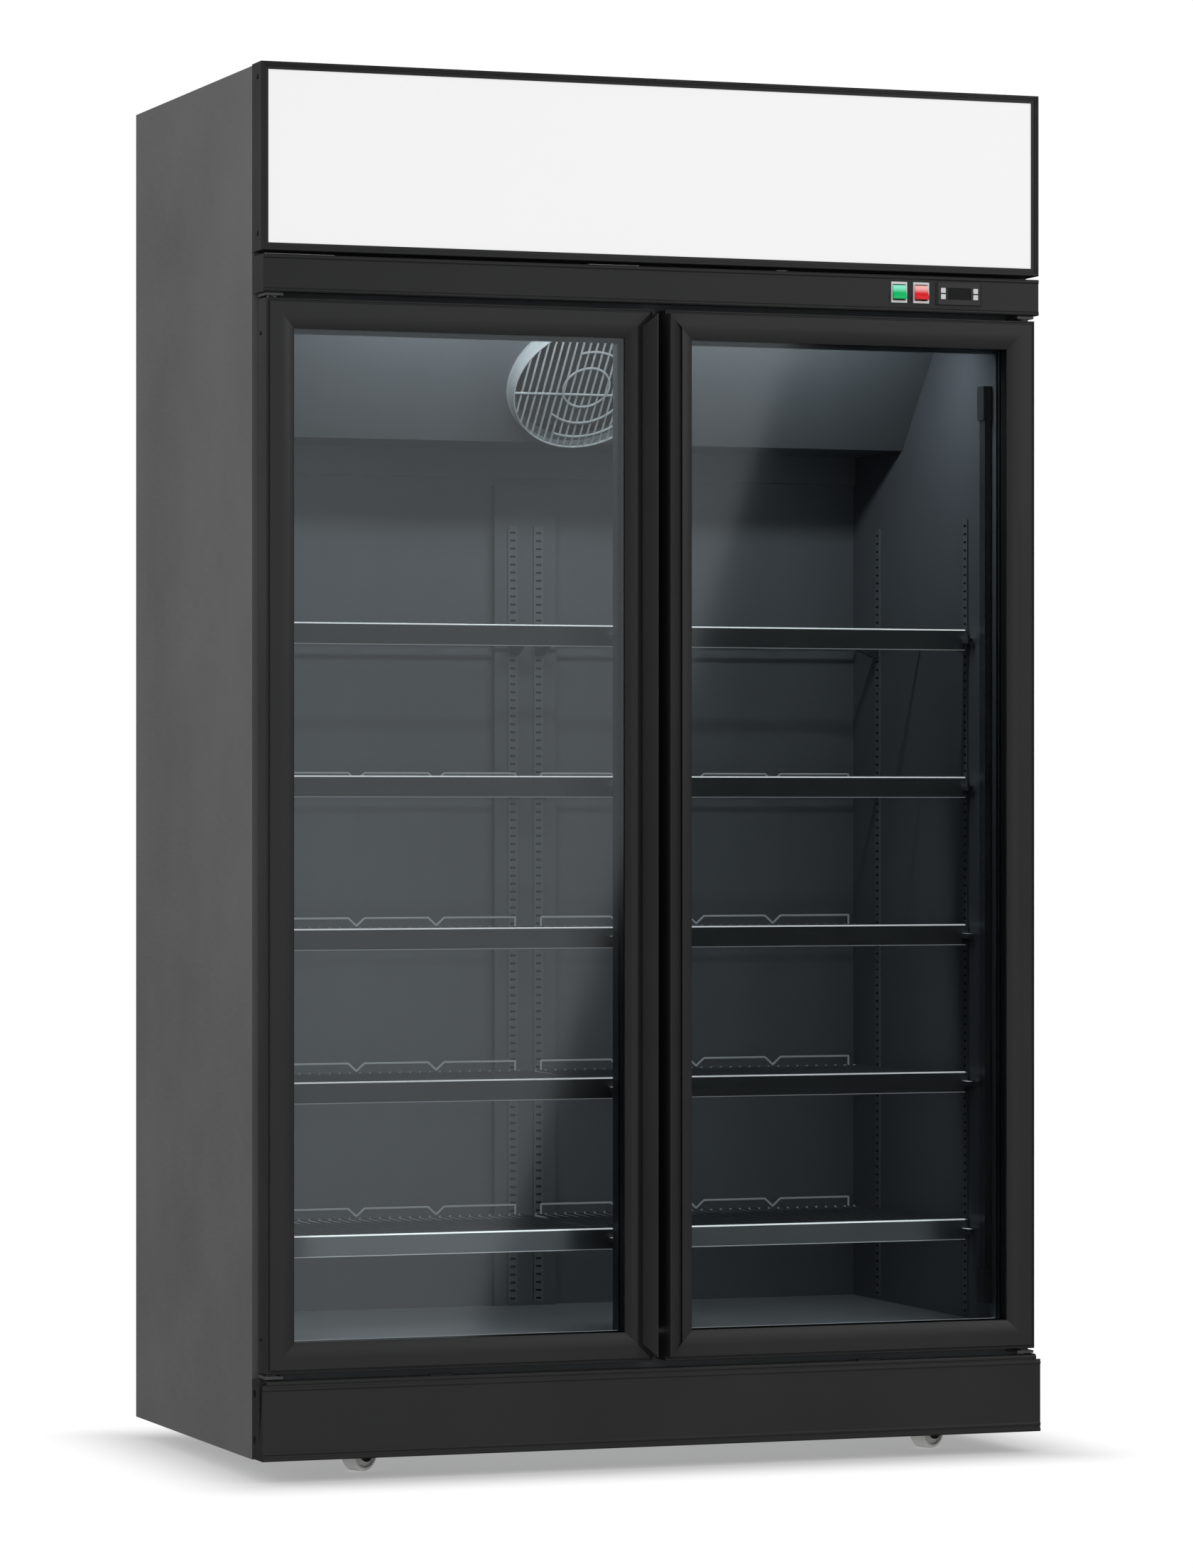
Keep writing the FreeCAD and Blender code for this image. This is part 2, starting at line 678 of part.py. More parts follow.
# ---------------------------------------------------------------- evaporator

def cover_frame():
    """Centre of the fan opening and the outward direction of the sloping face."""
    top = FreeCAD.Vector(0, COVER_TOP.value, CEILING.value)
    knee = FreeCAD.Vector(0, COVER_KNEE.value, CEILING.value - s.cover_rise.value)
    down = (knee - top).normalize()
    outward = FreeCAD.Vector(0, down.z, -down.y)
    centre = top + down * s.fan_down_slope.value
    return centre, outward, down


def on_slope(distance_out):
    """Placement whose Z axis leaves the sloping face, at the fan's centre."""
    centre, outward, down = cover_frame()
    rotation = FreeCAD.Rotation(FreeCAD.Vector(-1, 0, 0), down, outward, "ZXY")
    return FreeCAD.Placement(centre + outward * distance_out, rotation)


def evaporator_cover():
    """Bent sheet below the ceiling: sloping face, flat underside and a strip down the wall."""
    _, outward, down = cover_frame()
    sheet = s.cover_sheet
    z_knee = CEILING - s.cover_rise
    shift = sheet * (1 / abs(outward.y))
    lean = sheet * abs(down.y / down.z)
    strip = INSIDE_BACK - s.drip_proud
    low = COVER_LOW
    section = [(COVER_TOP, CEILING), (COVER_KNEE, z_knee), (strip, z_knee), (strip, low),
               (INSIDE_BACK, low), (INSIDE_BACK, low + sheet), (strip + sheet, low + sheet),
               (strip + sheet, z_knee + sheet), (COVER_KNEE + shift - lean, z_knee + sheet),
               (COVER_TOP + shift, CEILING)]
    across = INSIDE_X - 0.5
    plate = pad_x("cover_sheet_metal", section, -across, across)
    hole = made("cover_fan_hole", Part.makeCylinder(s.fan_opening.value, 40), on_slope(-20))
    keep("evaporator_cover", cut("cover_pierced", plate, [hole]))


def evaporator_coil():
    """Finned block with its return bends, behind the cover."""
    block = box("coil_fins", (as_size(-330), as_size(330)),
                (INSIDE_BACK - 130, INSIDE_BACK - 20), (CEILING - 150, CEILING - 12))
    bends = []
    for label, side in SIDES.items():
        for row in range(4):
            z = CEILING - 130 + row * 32
            bend = box(f"coil_bend_{label}_{row}", mirrored((as_size(330), as_size(352)), side),
                       (INSIDE_BACK - 110, INSIDE_BACK - 40), (z, z + 9))
            bends.append(bend)
        bends.append(box(f"coil_hanger_{label}", mirrored((as_size(322), as_size(330)), side),
                         (INSIDE_BACK - 110, INSIDE_BACK - 40), (CEILING - 12, CEILING)))
    keep("evaporator_coil", fuse("coil_with_bends", [block, *bends]))


def flat_ring(radius, width, level, depth, start=0, sweep=360):
    """A flat strip bent on edge to a circle, or to an arc that starts at an angle."""
    place = FreeCAD.Vector(0, 0, level)
    up = FreeCAD.Vector(0, 0, 1)
    outer = Part.makeCylinder(radius + width / 2, depth, place, up, sweep)
    inner = Part.makeCylinder(radius - width / 2, depth, place, up, sweep)
    ring = outer.cut(inner)
    ring.rotate(FreeCAD.Vector(), up, start)
    return ring


def fan_guard():
    """Flared ring with a grille in its mouth: slope-wise bars under one cross bar and arcs."""
    bar = s.guard_wire.value
    inner = s.guard_radius.value
    proud = s.guard_proud.value
    wall = 1.5
    bars = []
    pitch = 11.0
    count = int((inner - bar) / pitch)
    for index in range(-count, count + 1):
        x = index * pitch
        reach = math.sqrt((inner + wall / 2) ** 2 - (abs(x) + bar / 2) ** 2)
        bars.append(Part.makeBox(bar, reach * 2, bar,
                                 FreeCAD.Vector(x - bar / 2, -reach, proud - bar)))
    cross = inner + wall / 2
    bars.append(Part.makeBox(cross * 2, bar, bar, FreeCAD.Vector(-cross, 12, proud - bar / 2)))
    for radius, start, sweep in ((36, 0, 360), (66, 50, 240), (92, 70, 220)):
        bars.append(flat_ring(radius, bar, proud - bar / 2, bar, start, sweep))
    grille = bars[0].multiFuse(bars[1:])
    across = FreeCAD.Placement(FreeCAD.Vector(), FreeCAD.Rotation(FreeCAD.Vector(1, 0, 0), 90))
    section = [(inner, proud + 1), (inner + wall, proud + 1), (inner + 5, wall),
               (inner + 7.5, wall), (inner + 7.5, 0), (inner + 3.5, 0), (inner, proud - 4)]
    ring = turned("guard_ring", section, on_slope(0).multiply(across))
    keep("fan_guard", fuse("guard_in_ring", [ring, made("guard_grille", grille, on_slope(0))]))


def fan_motor():
    """Motor can on three arms behind the fan, bored for the rotor's shaft."""
    can = Part.makeCylinder(24, 46, FreeCAD.Vector(0, 0, -70))
    bore = Part.makeCylinder(s.axle_radius.value + s.axle_play.value, 20,
                             FreeCAD.Vector(0, 0, -44))
    arms = []
    for index in range(3):
        arm = Part.makeBox(s.fan_opening.value + 6, 8, 5, FreeCAD.Vector(0, -4, -60))
        post = Part.makeBox(6, 8, 60 - s.cover_sheet.value,
                            FreeCAD.Vector(s.fan_opening.value, -4, -60))
        for piece in (arm, post):
            piece.rotate(FreeCAD.Vector(), FreeCAD.Vector(0, 0, 1), 120 * index + 90)
            arms.append(piece)
    shape = can.multiFuse(arms).cut(bore)
    keep("fan_motor", made("fan_motor_on_arms", shape, on_slope(0)))


def rotor_shape(blade_radius, hub_radius, level, shaft):
    """Hub with five pitched blades and a shaft behind it."""
    hub = Part.makeCylinder(hub_radius, 16, FreeCAD.Vector(0, 0, level))
    pieces = [Part.makeCylinder(s.axle_radius.value, shaft, FreeCAD.Vector(0, 0, level - shaft))]
    for index in range(5):
        blade = Part.makeBox(blade_radius - hub_radius + 4, 46, 1.6,
                             FreeCAD.Vector(hub_radius - 4, -23, level + 7.2))
        blade.rotate(FreeCAD.Vector(0, 0, level + 8), FreeCAD.Vector(1, 0, 0), 22)
        blade.rotate(FreeCAD.Vector(), FreeCAD.Vector(0, 0, 1), 72 * index)
        pieces.append(blade)
    rim = Part.makeCylinder(blade_radius, 40, FreeCAD.Vector(0, 0, level - 12))
    return hub.multiFuse(pieces).common(rim.fuse(pieces[0]))


def evaporator_fan():
    shape = rotor_shape(s.blade_radius.value, s.hub_radius.value, -21, 18)
    keep("evaporator_fan", made("evaporator_rotor", shape, on_slope(0)))


# ---------------------------------------------------------------- canopy

def canopy():
    """Shallow light box: folded housing, mitred front rim, acrylic sign sheet, two lamps."""
    sheet = 1.5
    rim_depth = 5
    depth = (from_face(rim_depth + s.acrylic), CARCASS)
    shell = box("canopy_outside", (-HALF, HALF), depth, (CANOPY_LOW, s.overall_height))
    hollow = box("canopy_inside", (-HALF + sheet, HALF - sheet),
                 (depth[0] - 5, depth[1] - sheet), (CANOPY_LOW + sheet, s.overall_height - sheet))
    keep("canopy_box", cut("canopy_housing", shell, [hollow]))
    width = s.rim_width
    front = FACE
    back = from_face(rim_depth + s.acrylic)
    section = [(back, 0), (front + 1, 0), (front, 1), (front, 3), (front + 1.5, 3.6),
               (front + 1.5, 5.6), (front + 3, 6.2), (front + 3, width),
               (front + rim_depth, width), (front + rim_depth, 4), (back, 4)]
    keep("canopy_frame", mitred_frame("canopy_rim", section, (-HALF, HALF),
                                      (CANOPY_LOW, s.overall_height)))
    hold = 4
    keep("sign_panel", box("sign_sheet", (-HALF + hold, HALF - hold), (from_face(rim_depth), back),
                           (CANOPY_LOW + hold, s.overall_height - hold)))
    tubes = []
    for row, part_height in (("upper", 0.7), ("lower", 0.3)):
        z = CANOPY_LOW + s.canopy_height * part_height
        y = CARCASS - sheet - s.lamp_radius - 2
        tubes.append(cylinder(f"canopy_tube_{row}", s.lamp_radius, s.overall_width - 120,
                              (-HALF + 60, y, z), ALONG_X))
        for label, side in SIDES.items():
            tubes.append(box(f"canopy_socket_{row}_{label}",
                             mirrored((HALF - 60, HALF - 40), side),
                             (y - s.lamp_radius, CARCASS - sheet),
                             (z - 16, z + 16)))
    keep("canopy_lamps", *tubes)


# ---------------------------------------------------------------- control strip

CONTROL_Z = FASCIA_LOW + s.control_level
FASCIA_FRONT = FACE - s.fascia_proud
SWITCHES = {"green": HALF - s.green_inset, "red": HALF - s.red_inset}
CONTROLLER_X = HALF - s.controller_inset


def beaded_front(front, low, high, metal):
    """Section of a folded front: flat face, a raised bead near each edge, flanges behind."""
    bead = s.bead
    deep = 16
    return [(front + deep, low), (front + bead, low), (front, low + 2), (front, low + 4),
            (front + bead, low + 6), (front + bead, high - 6), (front, high - 4),
            (front, high - 2), (front + bead, high), (front + deep, high),
            (front + deep, high - metal), (front + metal + bead, high - metal),
            (front + metal + bead, low + metal), (front + deep, low + metal)]


def control_fascia():
    half = HALF - s.fascia_inset
    strip = pad_x("fascia_strip", beaded_front(FASCIA_FRONT, FASCIA_LOW, FASCIA_HIGH,
                                               s.sheet_metal), -half, half)
    returns = []
    for label, side in SIDES.items():
        returns.append(box(f"fascia_return_{label}", mirrored((half - s.sheet_metal, half), side),
                           (FASCIA_FRONT + s.bead, CARCASS), (FASCIA_LOW, FASCIA_HIGH)))
    folded = fuse("fascia_folded", [strip, *returns])
    holes = []
    for name, centre, width, height in (
            ("green", SWITCHES["green"], s.bezel_width - 3, s.bezel_height - 3),
            ("red", SWITCHES["red"], s.bezel_width - 3, s.bezel_height - 3),
            ("controller", CONTROLLER_X, s.controller_width - 4, s.controller_height - 4)):
        holes.append(box(f"{name}_hole", (centre - width / 2, centre + width / 2),
                         (FASCIA_FRONT - 5, FASCIA_FRONT + 10),
                         (CONTROL_Z - height / 2, CONTROL_Z + height / 2)))
    keep("control_fascia", cut("fascia_pierced", folded, holes))


def switch_bezels():
    """Square surrounds with a box behind that holds each rocker."""
    proud = 2
    face = FASCIA_FRONT + s.bead
    bezels = []
    for name, centre in SWITCHES.items():
        wide, tall = s.bezel_width / 2, s.bezel_height / 2
        flange = box(f"{name}_flange", (centre - wide, centre + wide), (face - proud, face),
                     (CONTROL_Z - tall, CONTROL_Z + tall))
        case = box(f"{name}_case", (centre - wide + 1.6, centre + wide - 1.6), (face, face + 24),
                   (CONTROL_Z - tall + 1.6, CONTROL_Z + tall - 1.6))
        open_x = s.rocker_width / 2 + s.rocker_play
        open_z = s.rocker_height / 2 + s.rocker_sweep
        well = box(f"{name}_well", (centre - open_x, centre + open_x), (face - 5, face + 17),
                   (CONTROL_Z - open_z, CONTROL_Z + open_z))
        bezels.append(cut(f"{name}_bezel", fuse(f"{name}_surround", [flange, case]), [well]))
    keep("switch_bezels", *bezels)


def rockers():
    """Two-way rocker keys: the lower half stands out, the upper half is pressed in."""
    face = FASCIA_FRONT + s.bead
    half = s.rocker_height / 2
    for name, centre in SWITCHES.items():
        section = [(face + 6, CONTROL_Z - half + 1.2), (face - 7, CONTROL_Z - half + 0.4),
                   (face - 7.6, CONTROL_Z - half + 1.4), (face - 7, CONTROL_Z - half + 5),
                   (face - 4.4, CONTROL_Z), (face - 3.4, CONTROL_Z + half - 2),
                   (face - 2.6, CONTROL_Z + half), (face + 6, CONTROL_Z + half - 1.2)]
        keep(f"{name}_rocker", pad_x(f"{name}_key", section, centre - s.rocker_width / 2,
                                     centre + s.rocker_width / 2))


BUTTONS = {"upper_left": (-1, 1), "lower_left": (-1, -1), "upper_right": (1, 1),
           "lower_right": (1, -1)}


def controller():
    """Digital thermostat: bowed bezel, dark window and four key pockets."""
    face = FASCIA_FRONT + s.bead
    proud = 3.4
    wide, tall = s.controller_width / 2, s.controller_height / 2
    centre = CONTROLLER_X
    plan = [(centre - wide, face), (centre - wide + 0.8, face - 1.6),
            (centre - wide + 3.5, face - proud), (centre + wide - 3.5, face - proud),
            (centre + wide - 0.8, face - 1.6), (centre + wide, face)]
    bezel = pad_z("controller_bezel", plan, CONTROL_Z - tall, CONTROL_Z + tall)
    case = box("controller_case", (centre - wide + 2.5, centre + wide - 2.5), (face, face + 38),
               (CONTROL_Z - tall + 2.5, CONTROL_Z + tall - 2.5))
    tools = [box("display_window", (centre - 18.7, centre + 18.7), (face - 10, face - proud + 0.9),
                 (CONTROL_Z - 8.8, CONTROL_Z + 8.8))]
    play = 0.25
    reach = s.button_size / 2 + play
    for name, (column, row) in BUTTONS.items():
        x = centre + s.button_column * column
        z = CONTROL_Z + s.button_row * row
        tools.append(box(f"pocket_{name}", (x - reach, x + reach), (face - 10, face + 2),
                         (z - reach, z + reach)))
    keep("controller", cut("controller_unit", fuse("controller_solid", [bezel, case]), tools))


def buttons():
    face = FASCIA_FRONT + s.bead
    half = s.button_size / 2
    for name, (column, row) in BUTTONS.items():
        x = CONTROLLER_X + s.button_column * column
        z = CONTROL_Z + s.button_row * row
        keep(f"button_{name}", box(f"key_{name}", (x - half, x + half), (face - 4.6, face + 0.6),
                                   (z - half, z + half)))


# ---------------------------------------------------------------- kick plate

def kick_plate():
    """Folded plinth with two beads at each edge, side returns with screw holes, end caps."""
    front = FACE - s.kick_proud
    low, high = s.kick_low, KICK_HIGH
    bead = s.bead
    metal = s.sheet_metal
    deep = 22
    section = [(front + deep, low), (front + bead, low), (front, low + 2), (front, low + 4),
               (front + bead, low + 5.5), (front + bead, low + 8), (front, low + 10),
               (front, low + 12), (front + bead, low + 14), (front + bead, high - 14),
               (front, high - 12), (front, high - 10), (front + bead, high - 8),
               (front + bead, high - 5.5), (front, high - 4), (front, high - 2),
               (front + bead, high), (front + deep, high), (front + deep, high - metal),
               (front + bead + metal, high - metal), (front + bead + metal, low + metal),
               (front + deep, low + metal)]
    cap = 7
    face = pad_x("kick_face", section, -HALF + cap, HALF - cap)
    outside = section[:14]
    ends = []
    for label, side in SIDES.items():
        end = pad_x(f"kick_cap_{label}", outside, *mirrored((HALF - cap, HALF), side))
        plate = box(f"kick_return_{label}", mirrored((HALF - metal, HALF), side),
                    (front + deep - 4, CARCASS), (low, high))
        holes = [cylinder(f"kick_hole_{label}_{level}", 6, 12,
                          (HALF * side - 6, from_face(34.4), low + height), ALONG_X)
                 for level, height in enumerate((27, 92.8))]
        ends.append(cut(f"kick_end_{label}", fuse(f"kick_corner_{label}", [end, plate]), holes))
    tabs = [box(f"kick_tab_{label}", mirrored((as_size(313), as_size(347)), side),
                (front + 12, front + deep), (high, high + 1.5)) for label, side in SIDES.items()]
    keep("kick_plate", face, *ends, *tabs)


# ---------------------------------------------------------------- doors

def door_section():
    """Section of the door profile: y against the inset from the door's outer edge.

    A narrow ledge at the outer edge, a raised face that rolls away towards the glass,
    and a channel at the inner edge that holds the glazing unit.
    """
    face = FACE
    ridge = face - 1.5
    width = s.stile_width
    glass = from_face(s.pane_front)
    rear = glass + s.unit_depth
    back = from_face(s.door_depth)
    return [(back, 0), (face + 1, 0), (face, 0.8), (face, 2), (face + 1.2, 3), (face + 1.2, 4.4),
            (ridge + 0.6, 4.8), (ridge, 5.6), (ridge, 20, 42), (face + 4.6, width),
            (glass, width), (glass, width - s.glass_hold), (rear, width - s.glass_hold),
            (rear, width), (back, width)]


def grip_section(side, edge):
    """Plan of the full-height grip: a wall at the meeting edge and a rounded sloping front."""
    tip = FACE - s.handle_out
    lip = FACE - s.grip_edge
    width = s.grip_width

    def x(inset):
        return edge + as_size(inset) * side

    return [(x(0), FACE + 1), (x(0), tip + 1.2), (x(0.7), tip + 0.2),
            (x(1.8), tip, -32 * side), (x(width - 0.4), lip - 1.2), (x(width), lip),
            (x(width - 1.2), lip + 1.6), (x(14.5), lip - 3), (x(9), tip + 6.4),
            (x(3.4), tip + 3.4), (x(2.4), tip + 4.4), (x(2.4), FACE), (x(0.8), FACE)]


def mitre_cutter(name, edge, side, level, way, start):
    """Everything beyond a 45 degree line that rises from one end of the meeting edge."""
    reach = s.grip_width.value + 3
    corner = [(edge - side, level - 5 * way), (edge - side, level + (start - 1) * way),
              (edge + reach * side, level + (start + reach) * way),
              (edge + reach * side, level - 5 * way)]
    return pad(name, corner, ALONG_Y, 60, (0, FACE + 5, 0))


def finger_groove(name, edge, side):
    """Channel behind the grip, mitred like the profile's corners."""
    near, far = as_size(3), s.groove_end
    depth = s.groove_depth
    corners = [(edge + near * side, DOOR_LOW + near), (edge + far * side, DOOR_LOW + far),
               (edge + far * side, DOOR_HIGH - far), (edge + near * side, DOOR_HIGH - near)]
    return pad(name, corners, ALONG_Y, depth + 4, (0, FACE + depth, 0))


def door(label):
    """One door: mitred frame with pin bores, grip, glazing unit and seals."""
    side = SIDES[label]
    meeting = s.door_centre_gap / 2
    hinge_edge = HALF - s.door_side_gap
    span = mirrored((meeting, hinge_edge), side)
    frame = mitred_frame(f"{label}_door_profile", door_section(), span, (DOOR_LOW, DOOR_HIGH))
    pin_x = (hinge_edge - s.pin_side) * side
    pin_y = from_face(s.pin_back)
    depth = s.pin_length + 1
    bore = s.pin_radius + s.pin_play
    bores = [cylinder(f"{label}_bore_low", bore, depth + 5, (pin_x, pin_y, DOOR_LOW - 5)),
             cylinder(f"{label}_bore_high", bore, depth + 5, (pin_x, pin_y, DOOR_HIGH - depth))]
    edge = meeting * side
    groove = finger_groove(f"{label}_groove", edge, side)
    keep(f"{label}_door_frame", cut(f"{label}_door_grooved", frame, [groove, *bores]))

    grip = pad_z(f"{label}_grip_bar", grip_section(side, edge), DOOR_LOW, DOOR_HIGH)
    start = 6.5
    mitres = [mitre_cutter(f"{label}_mitre_low", edge, side, DOOR_LOW, 1, start),
              mitre_cutter(f"{label}_mitre_high", edge, side, DOOR_HIGH, -1, start)]
    keep(f"{label}_handle", cut(f"{label}_grip_mitred", grip, mitres))

    hold = s.stile_width - s.glass_hold
    low_x, high_x = mirrored((meeting + hold, hinge_edge - hold), side)
    low_z, high_z = DOOR_LOW + hold, DOOR_HIGH - hold
    front = from_face(s.pane_front)
    back = front + s.unit_depth
    panes = [box(f"{label}_pane_front", (low_x, high_x), (front, front + s.pane), (low_z, high_z)),
             box(f"{label}_pane_rear", (low_x, high_x), (back - s.pane, back), (low_z, high_z))]
    keep(f"{label}_glass", *panes)

    spacer = [(front + s.pane, 0), (back - s.pane, 0), (back - s.pane, s.glass_hold - 0.5),
              (front + s.pane, s.glass_hold - 0.5)]
    spacer_bar = mitred_frame(f"{label}_spacer_bar", spacer, (low_x, high_x), (low_z, high_z))
    door_back = from_face(s.door_depth)
    seal_back = CARCASS + s.skin - s.gasket_gap
    width = s.gasket_width
    seal = [(door_back, 0), (door_back, width), (door_back + 3, width), (door_back + 5, width - 2),
            (seal_back, width - 2), (seal_back, 2), (door_back + 5, 2), (door_back + 3, 0)]
    inset = s.gasket_inset
    seal_ring = mitred_frame(f"{label}_magnet_seal", seal,
                             mirrored((meeting + inset, hinge_edge - inset), side),
                             (DOOR_LOW + inset, DOOR_HIGH - inset))
    keep(f"{label}_seals", spacer_bar, seal_ring)


def hinge_brackets():
    """A plate with a pin above and below each door."""
    parts = []
    for label, side in SIDES.items():
        x = (HALF - s.door_side_gap - s.pin_side) * side
        y = from_face(s.pin_back)
        plate_x = (x - 13, x + 13)
        plate_y = (y - 11, CARCASS)
        for end, low, pin_low, pin_high in (
                ("low", DOOR_LOW - s.hinge_gap - s.hinge_plate,
                 DOOR_LOW - s.hinge_gap - 1, DOOR_LOW + s.pin_length),
                ("high", DOOR_HIGH + s.hinge_gap, DOOR_HIGH - s.pin_length,
                 DOOR_HIGH + s.hinge_gap + 1)):
            plate = box(f"hinge_plate_{label}_{end}", plate_x, plate_y,
                        (low, low + s.hinge_plate))
            pin = cylinder(f"hinge_pin_{label}_{end}", s.pin_radius, pin_high - pin_low,
                           (x, y, pin_low))
            washer_low = DOOR_LOW - s.hinge_gap if end == "low" else DOOR_HIGH + 1
            washer = cylinder(f"hinge_washer_{label}_{end}", 8, s.hinge_gap - 1,
                              (x, y, washer_low))
            parts.append(fuse(f"hinge_{label}_{end}", [plate, pin, washer]))
    keep("hinge_brackets", *parts)


# ---------------------------------------------------------------- interior lamps

def interior_lamps():
    """Upright lamp bars with end sockets: one on each side wall, one behind the mullion."""
    low, high = FLOOR + 30, HEADER - 47
    front = INSIDE_FRONT + 4
    parts = []
    for label, side in SIDES.items():
        bar = mirrored((INSIDE_X - 11, INSIDE_X), side)
        socket = mirrored((INSIDE_X - 14, INSIDE_X), side)
        depth = (front, front + 20)
        parts.append(box(f"lamp_bar_{label}", bar, depth, (low + 50, high - 50)))
        parts.append(box(f"lamp_socket_low_{label}", socket, (front - 2, front + 22),
                         (low, low + 50)))
        parts.append(box(f"lamp_socket_high_{label}", socket, (front - 2, front + 22),
                         (high - 50, high)))
    parts.append(box("lamp_bar_mullion", (as_size(-8), as_size(8)),
                     (MULLION_BACK, MULLION_BACK + 10), (low + 50, high - 50)))
    keep("interior_lamps", *parts)


# ---------------------------------------------------------------- machine compartment

UNIT_FLOOR = CANOPY_LOW


def compressor():
    """Welded compressor can on a foot plate, with its suction stub."""
    place = FreeCAD.Placement(FreeCAD.Vector(260, from_face(400).value, UNIT_FLOOR.value),
                              FreeCAD.Rotation(FreeCAD.Vector(1, 0, 0), 90))
    can = turned("compressor_can", [(0, 16), (as_size(60), as_size(16)), (as_size(78), as_size(36)),
                                    (as_size(80), as_size(70)), (as_size(80), as_size(120)),
                                    (as_size(72), as_size(158)), (as_size(45), as_size(180)),
                                    (0, 186)], place)
    plate = box("compressor_plate", (as_size(165), as_size(355)),
                (from_face(330), from_face(470)), (UNIT_FLOOR + 12, UNIT_FLOOR + 18))
    feet = [cylinder(f"compressor_foot_{index}", 12, 13,
                     (as_size(260 + 80 * way_x), from_face(400 + 55 * way_y), UNIT_FLOOR))
            for index, (way_x, way_y) in enumerate(((-1, -1), (-1, 1), (1, -1), (1, 1)))]
    keep("compressor", fuse("compressor_unit", [can, plate, *feet]))


CONDENSER_X = -250
CONDENSER_Z = s.canopy_height / 2 - 3.5


def condenser_coil():
    """Finned block with a fan collar behind it."""
    z = UNIT_FLOOR + CONDENSER_Z
    y = from_face(110)
    fins = box("condenser_fins", (as_size(CONDENSER_X - 180), as_size(CONDENSER_X + 180)),
               (y, y + 45), (UNIT_FLOOR, PANEL_HIGH - 30))
    radius = s.canopy_height / 2 - 21.5
    collar = cylinder("condenser_collar", radius, 45, (CONDENSER_X, y + 90, z), ALONG_Y)
    mouth = cylinder("condenser_mouth", radius - 4, 65, (CONDENSER_X, y + 100, z), ALONG_Y)
    keep("condenser_coil", fins, cut("condenser_ring", collar, [mouth]))


def condenser_motor():
    """Motor on a post behind the condenser fan, bored for the rotor's shaft."""
    y = from_face(264).value
    z = (UNIT_FLOOR + CONDENSER_Z).value
    can = Part.makeCylinder(30, 60, FreeCAD.Vector(CONDENSER_X, y, z), FreeCAD.Vector(0, -1, 0))
    bore = Part.makeCylinder(s.axle_radius.value + s.axle_play.value, 20,
                             FreeCAD.Vector(CONDENSER_X, y - 40, z), FreeCAD.Vector(0, -1, 0))
    post = Part.makeBox(30, 20, z - UNIT_FLOOR.value,
                        FreeCAD.Vector(CONDENSER_X - 15, y - 30, UNIT_FLOOR.value))
    keep("condenser_motor", made("condenser_motor_on_post", can.fuse(post).cut(bore)))


def condenser_fan():
    shape = rotor_shape(s.canopy_height.value / 2 - 33.5, s.hub_radius.value, 0, 20)
    z = (UNIT_FLOOR + CONDENSER_Z).value
    place = FreeCAD.Placement(FreeCAD.Vector(CONDENSER_X, from_face(200).value, z), ALONG_Y)
    keep("condenser_fan", made("condenser_rotor", shape, place))


# ---------------------------------------------------------------- castors

CASTOR_FRONT = from_face(s.castor_front)
CASTOR_REAR = BACK - s.castor_rear_inset
CASTORS = {"front_left": (-1, CASTOR_FRONT), "front_right": (1, CASTOR_FRONT),
           "rear_left": (-1, CASTOR_REAR), "rear_right": (1, CASTOR_REAR)}
HEAD_TOP = CASTOR_HIGH - 3.3


def castor_plates():
    """Top plates that fasten the castors to the base pan."""
    plates = []
    for label, (side, y) in CASTORS.items():
        x = CASTOR_SIDE * side
        plates.append(box(f"castor_plate_{label}", (x - 32, x + 32), (y - 30, y + 30),
                          (CASTOR_HIGH - 3, CASTOR_HIGH)))
    keep("castor_plates", *plates)


def castor_place(side, kingpin, ahead=0, z=0):
    """A point on the fork's own line, with the local X axis along the trail."""
    yaw = math.radians(s.castor_yaw.value)
    x = CASTOR_SIDE.value * side + ahead * math.cos(yaw)
    y = kingpin.value + ahead * math.sin(yaw)
    return FreeCAD.Placement(FreeCAD.Vector(x, y, z),
                             FreeCAD.Rotation(FreeCAD.Vector(0, 0, 1), s.castor_yaw.value))


def castor_fork(label, side, kingpin):
    """Swivel head, bridge, two legs and the axle, drawn with the kingpin on the local Z axis."""
    trail, radius = s.trail, s.wheel_radius
    inner = s.wheel_width / 2 + s.fork_gap
    outer = inner + s.fork_sheet
    bridge_low = radius * 2 + 3
    name = f"fork_{label}"
    parts = [cylinder(f"{name}_head", 20, HEAD_TOP - bridge_low, (0, 0, bridge_low)),
             box(f"{name}_bridge", (as_size(-10), trail + 8), (-outer, outer),
                 (bridge_low, bridge_low + s.fork_sheet))]
    for leg, way in (("near", -1), ("far", 1)):
        y = mirrored((inner, outer), way)
        parts.append(pad(f"{name}_leg_{leg}",
                         [(trail - 11, radius), (as_size(-10), bridge_low + 1),
                          (trail + 8, bridge_low + 1), (trail + 11, radius)],
                         ALONG_Y, s.fork_sheet, (0, y[1], 0)))
        parts.append(cylinder(f"{name}_eye_{leg}", 11, s.fork_sheet, (trail, y[1], radius), ALONG_Y))
    parts.append(cylinder(f"{name}_axle", s.axle_radius, outer * 2 + 6, (trail, outer + 3, radius),
                          ALONG_Y))
    fork = fuse(name, parts)
    fork.Placement = castor_place(side, kingpin)
    keep(f"castor_fork_{label}", fork)


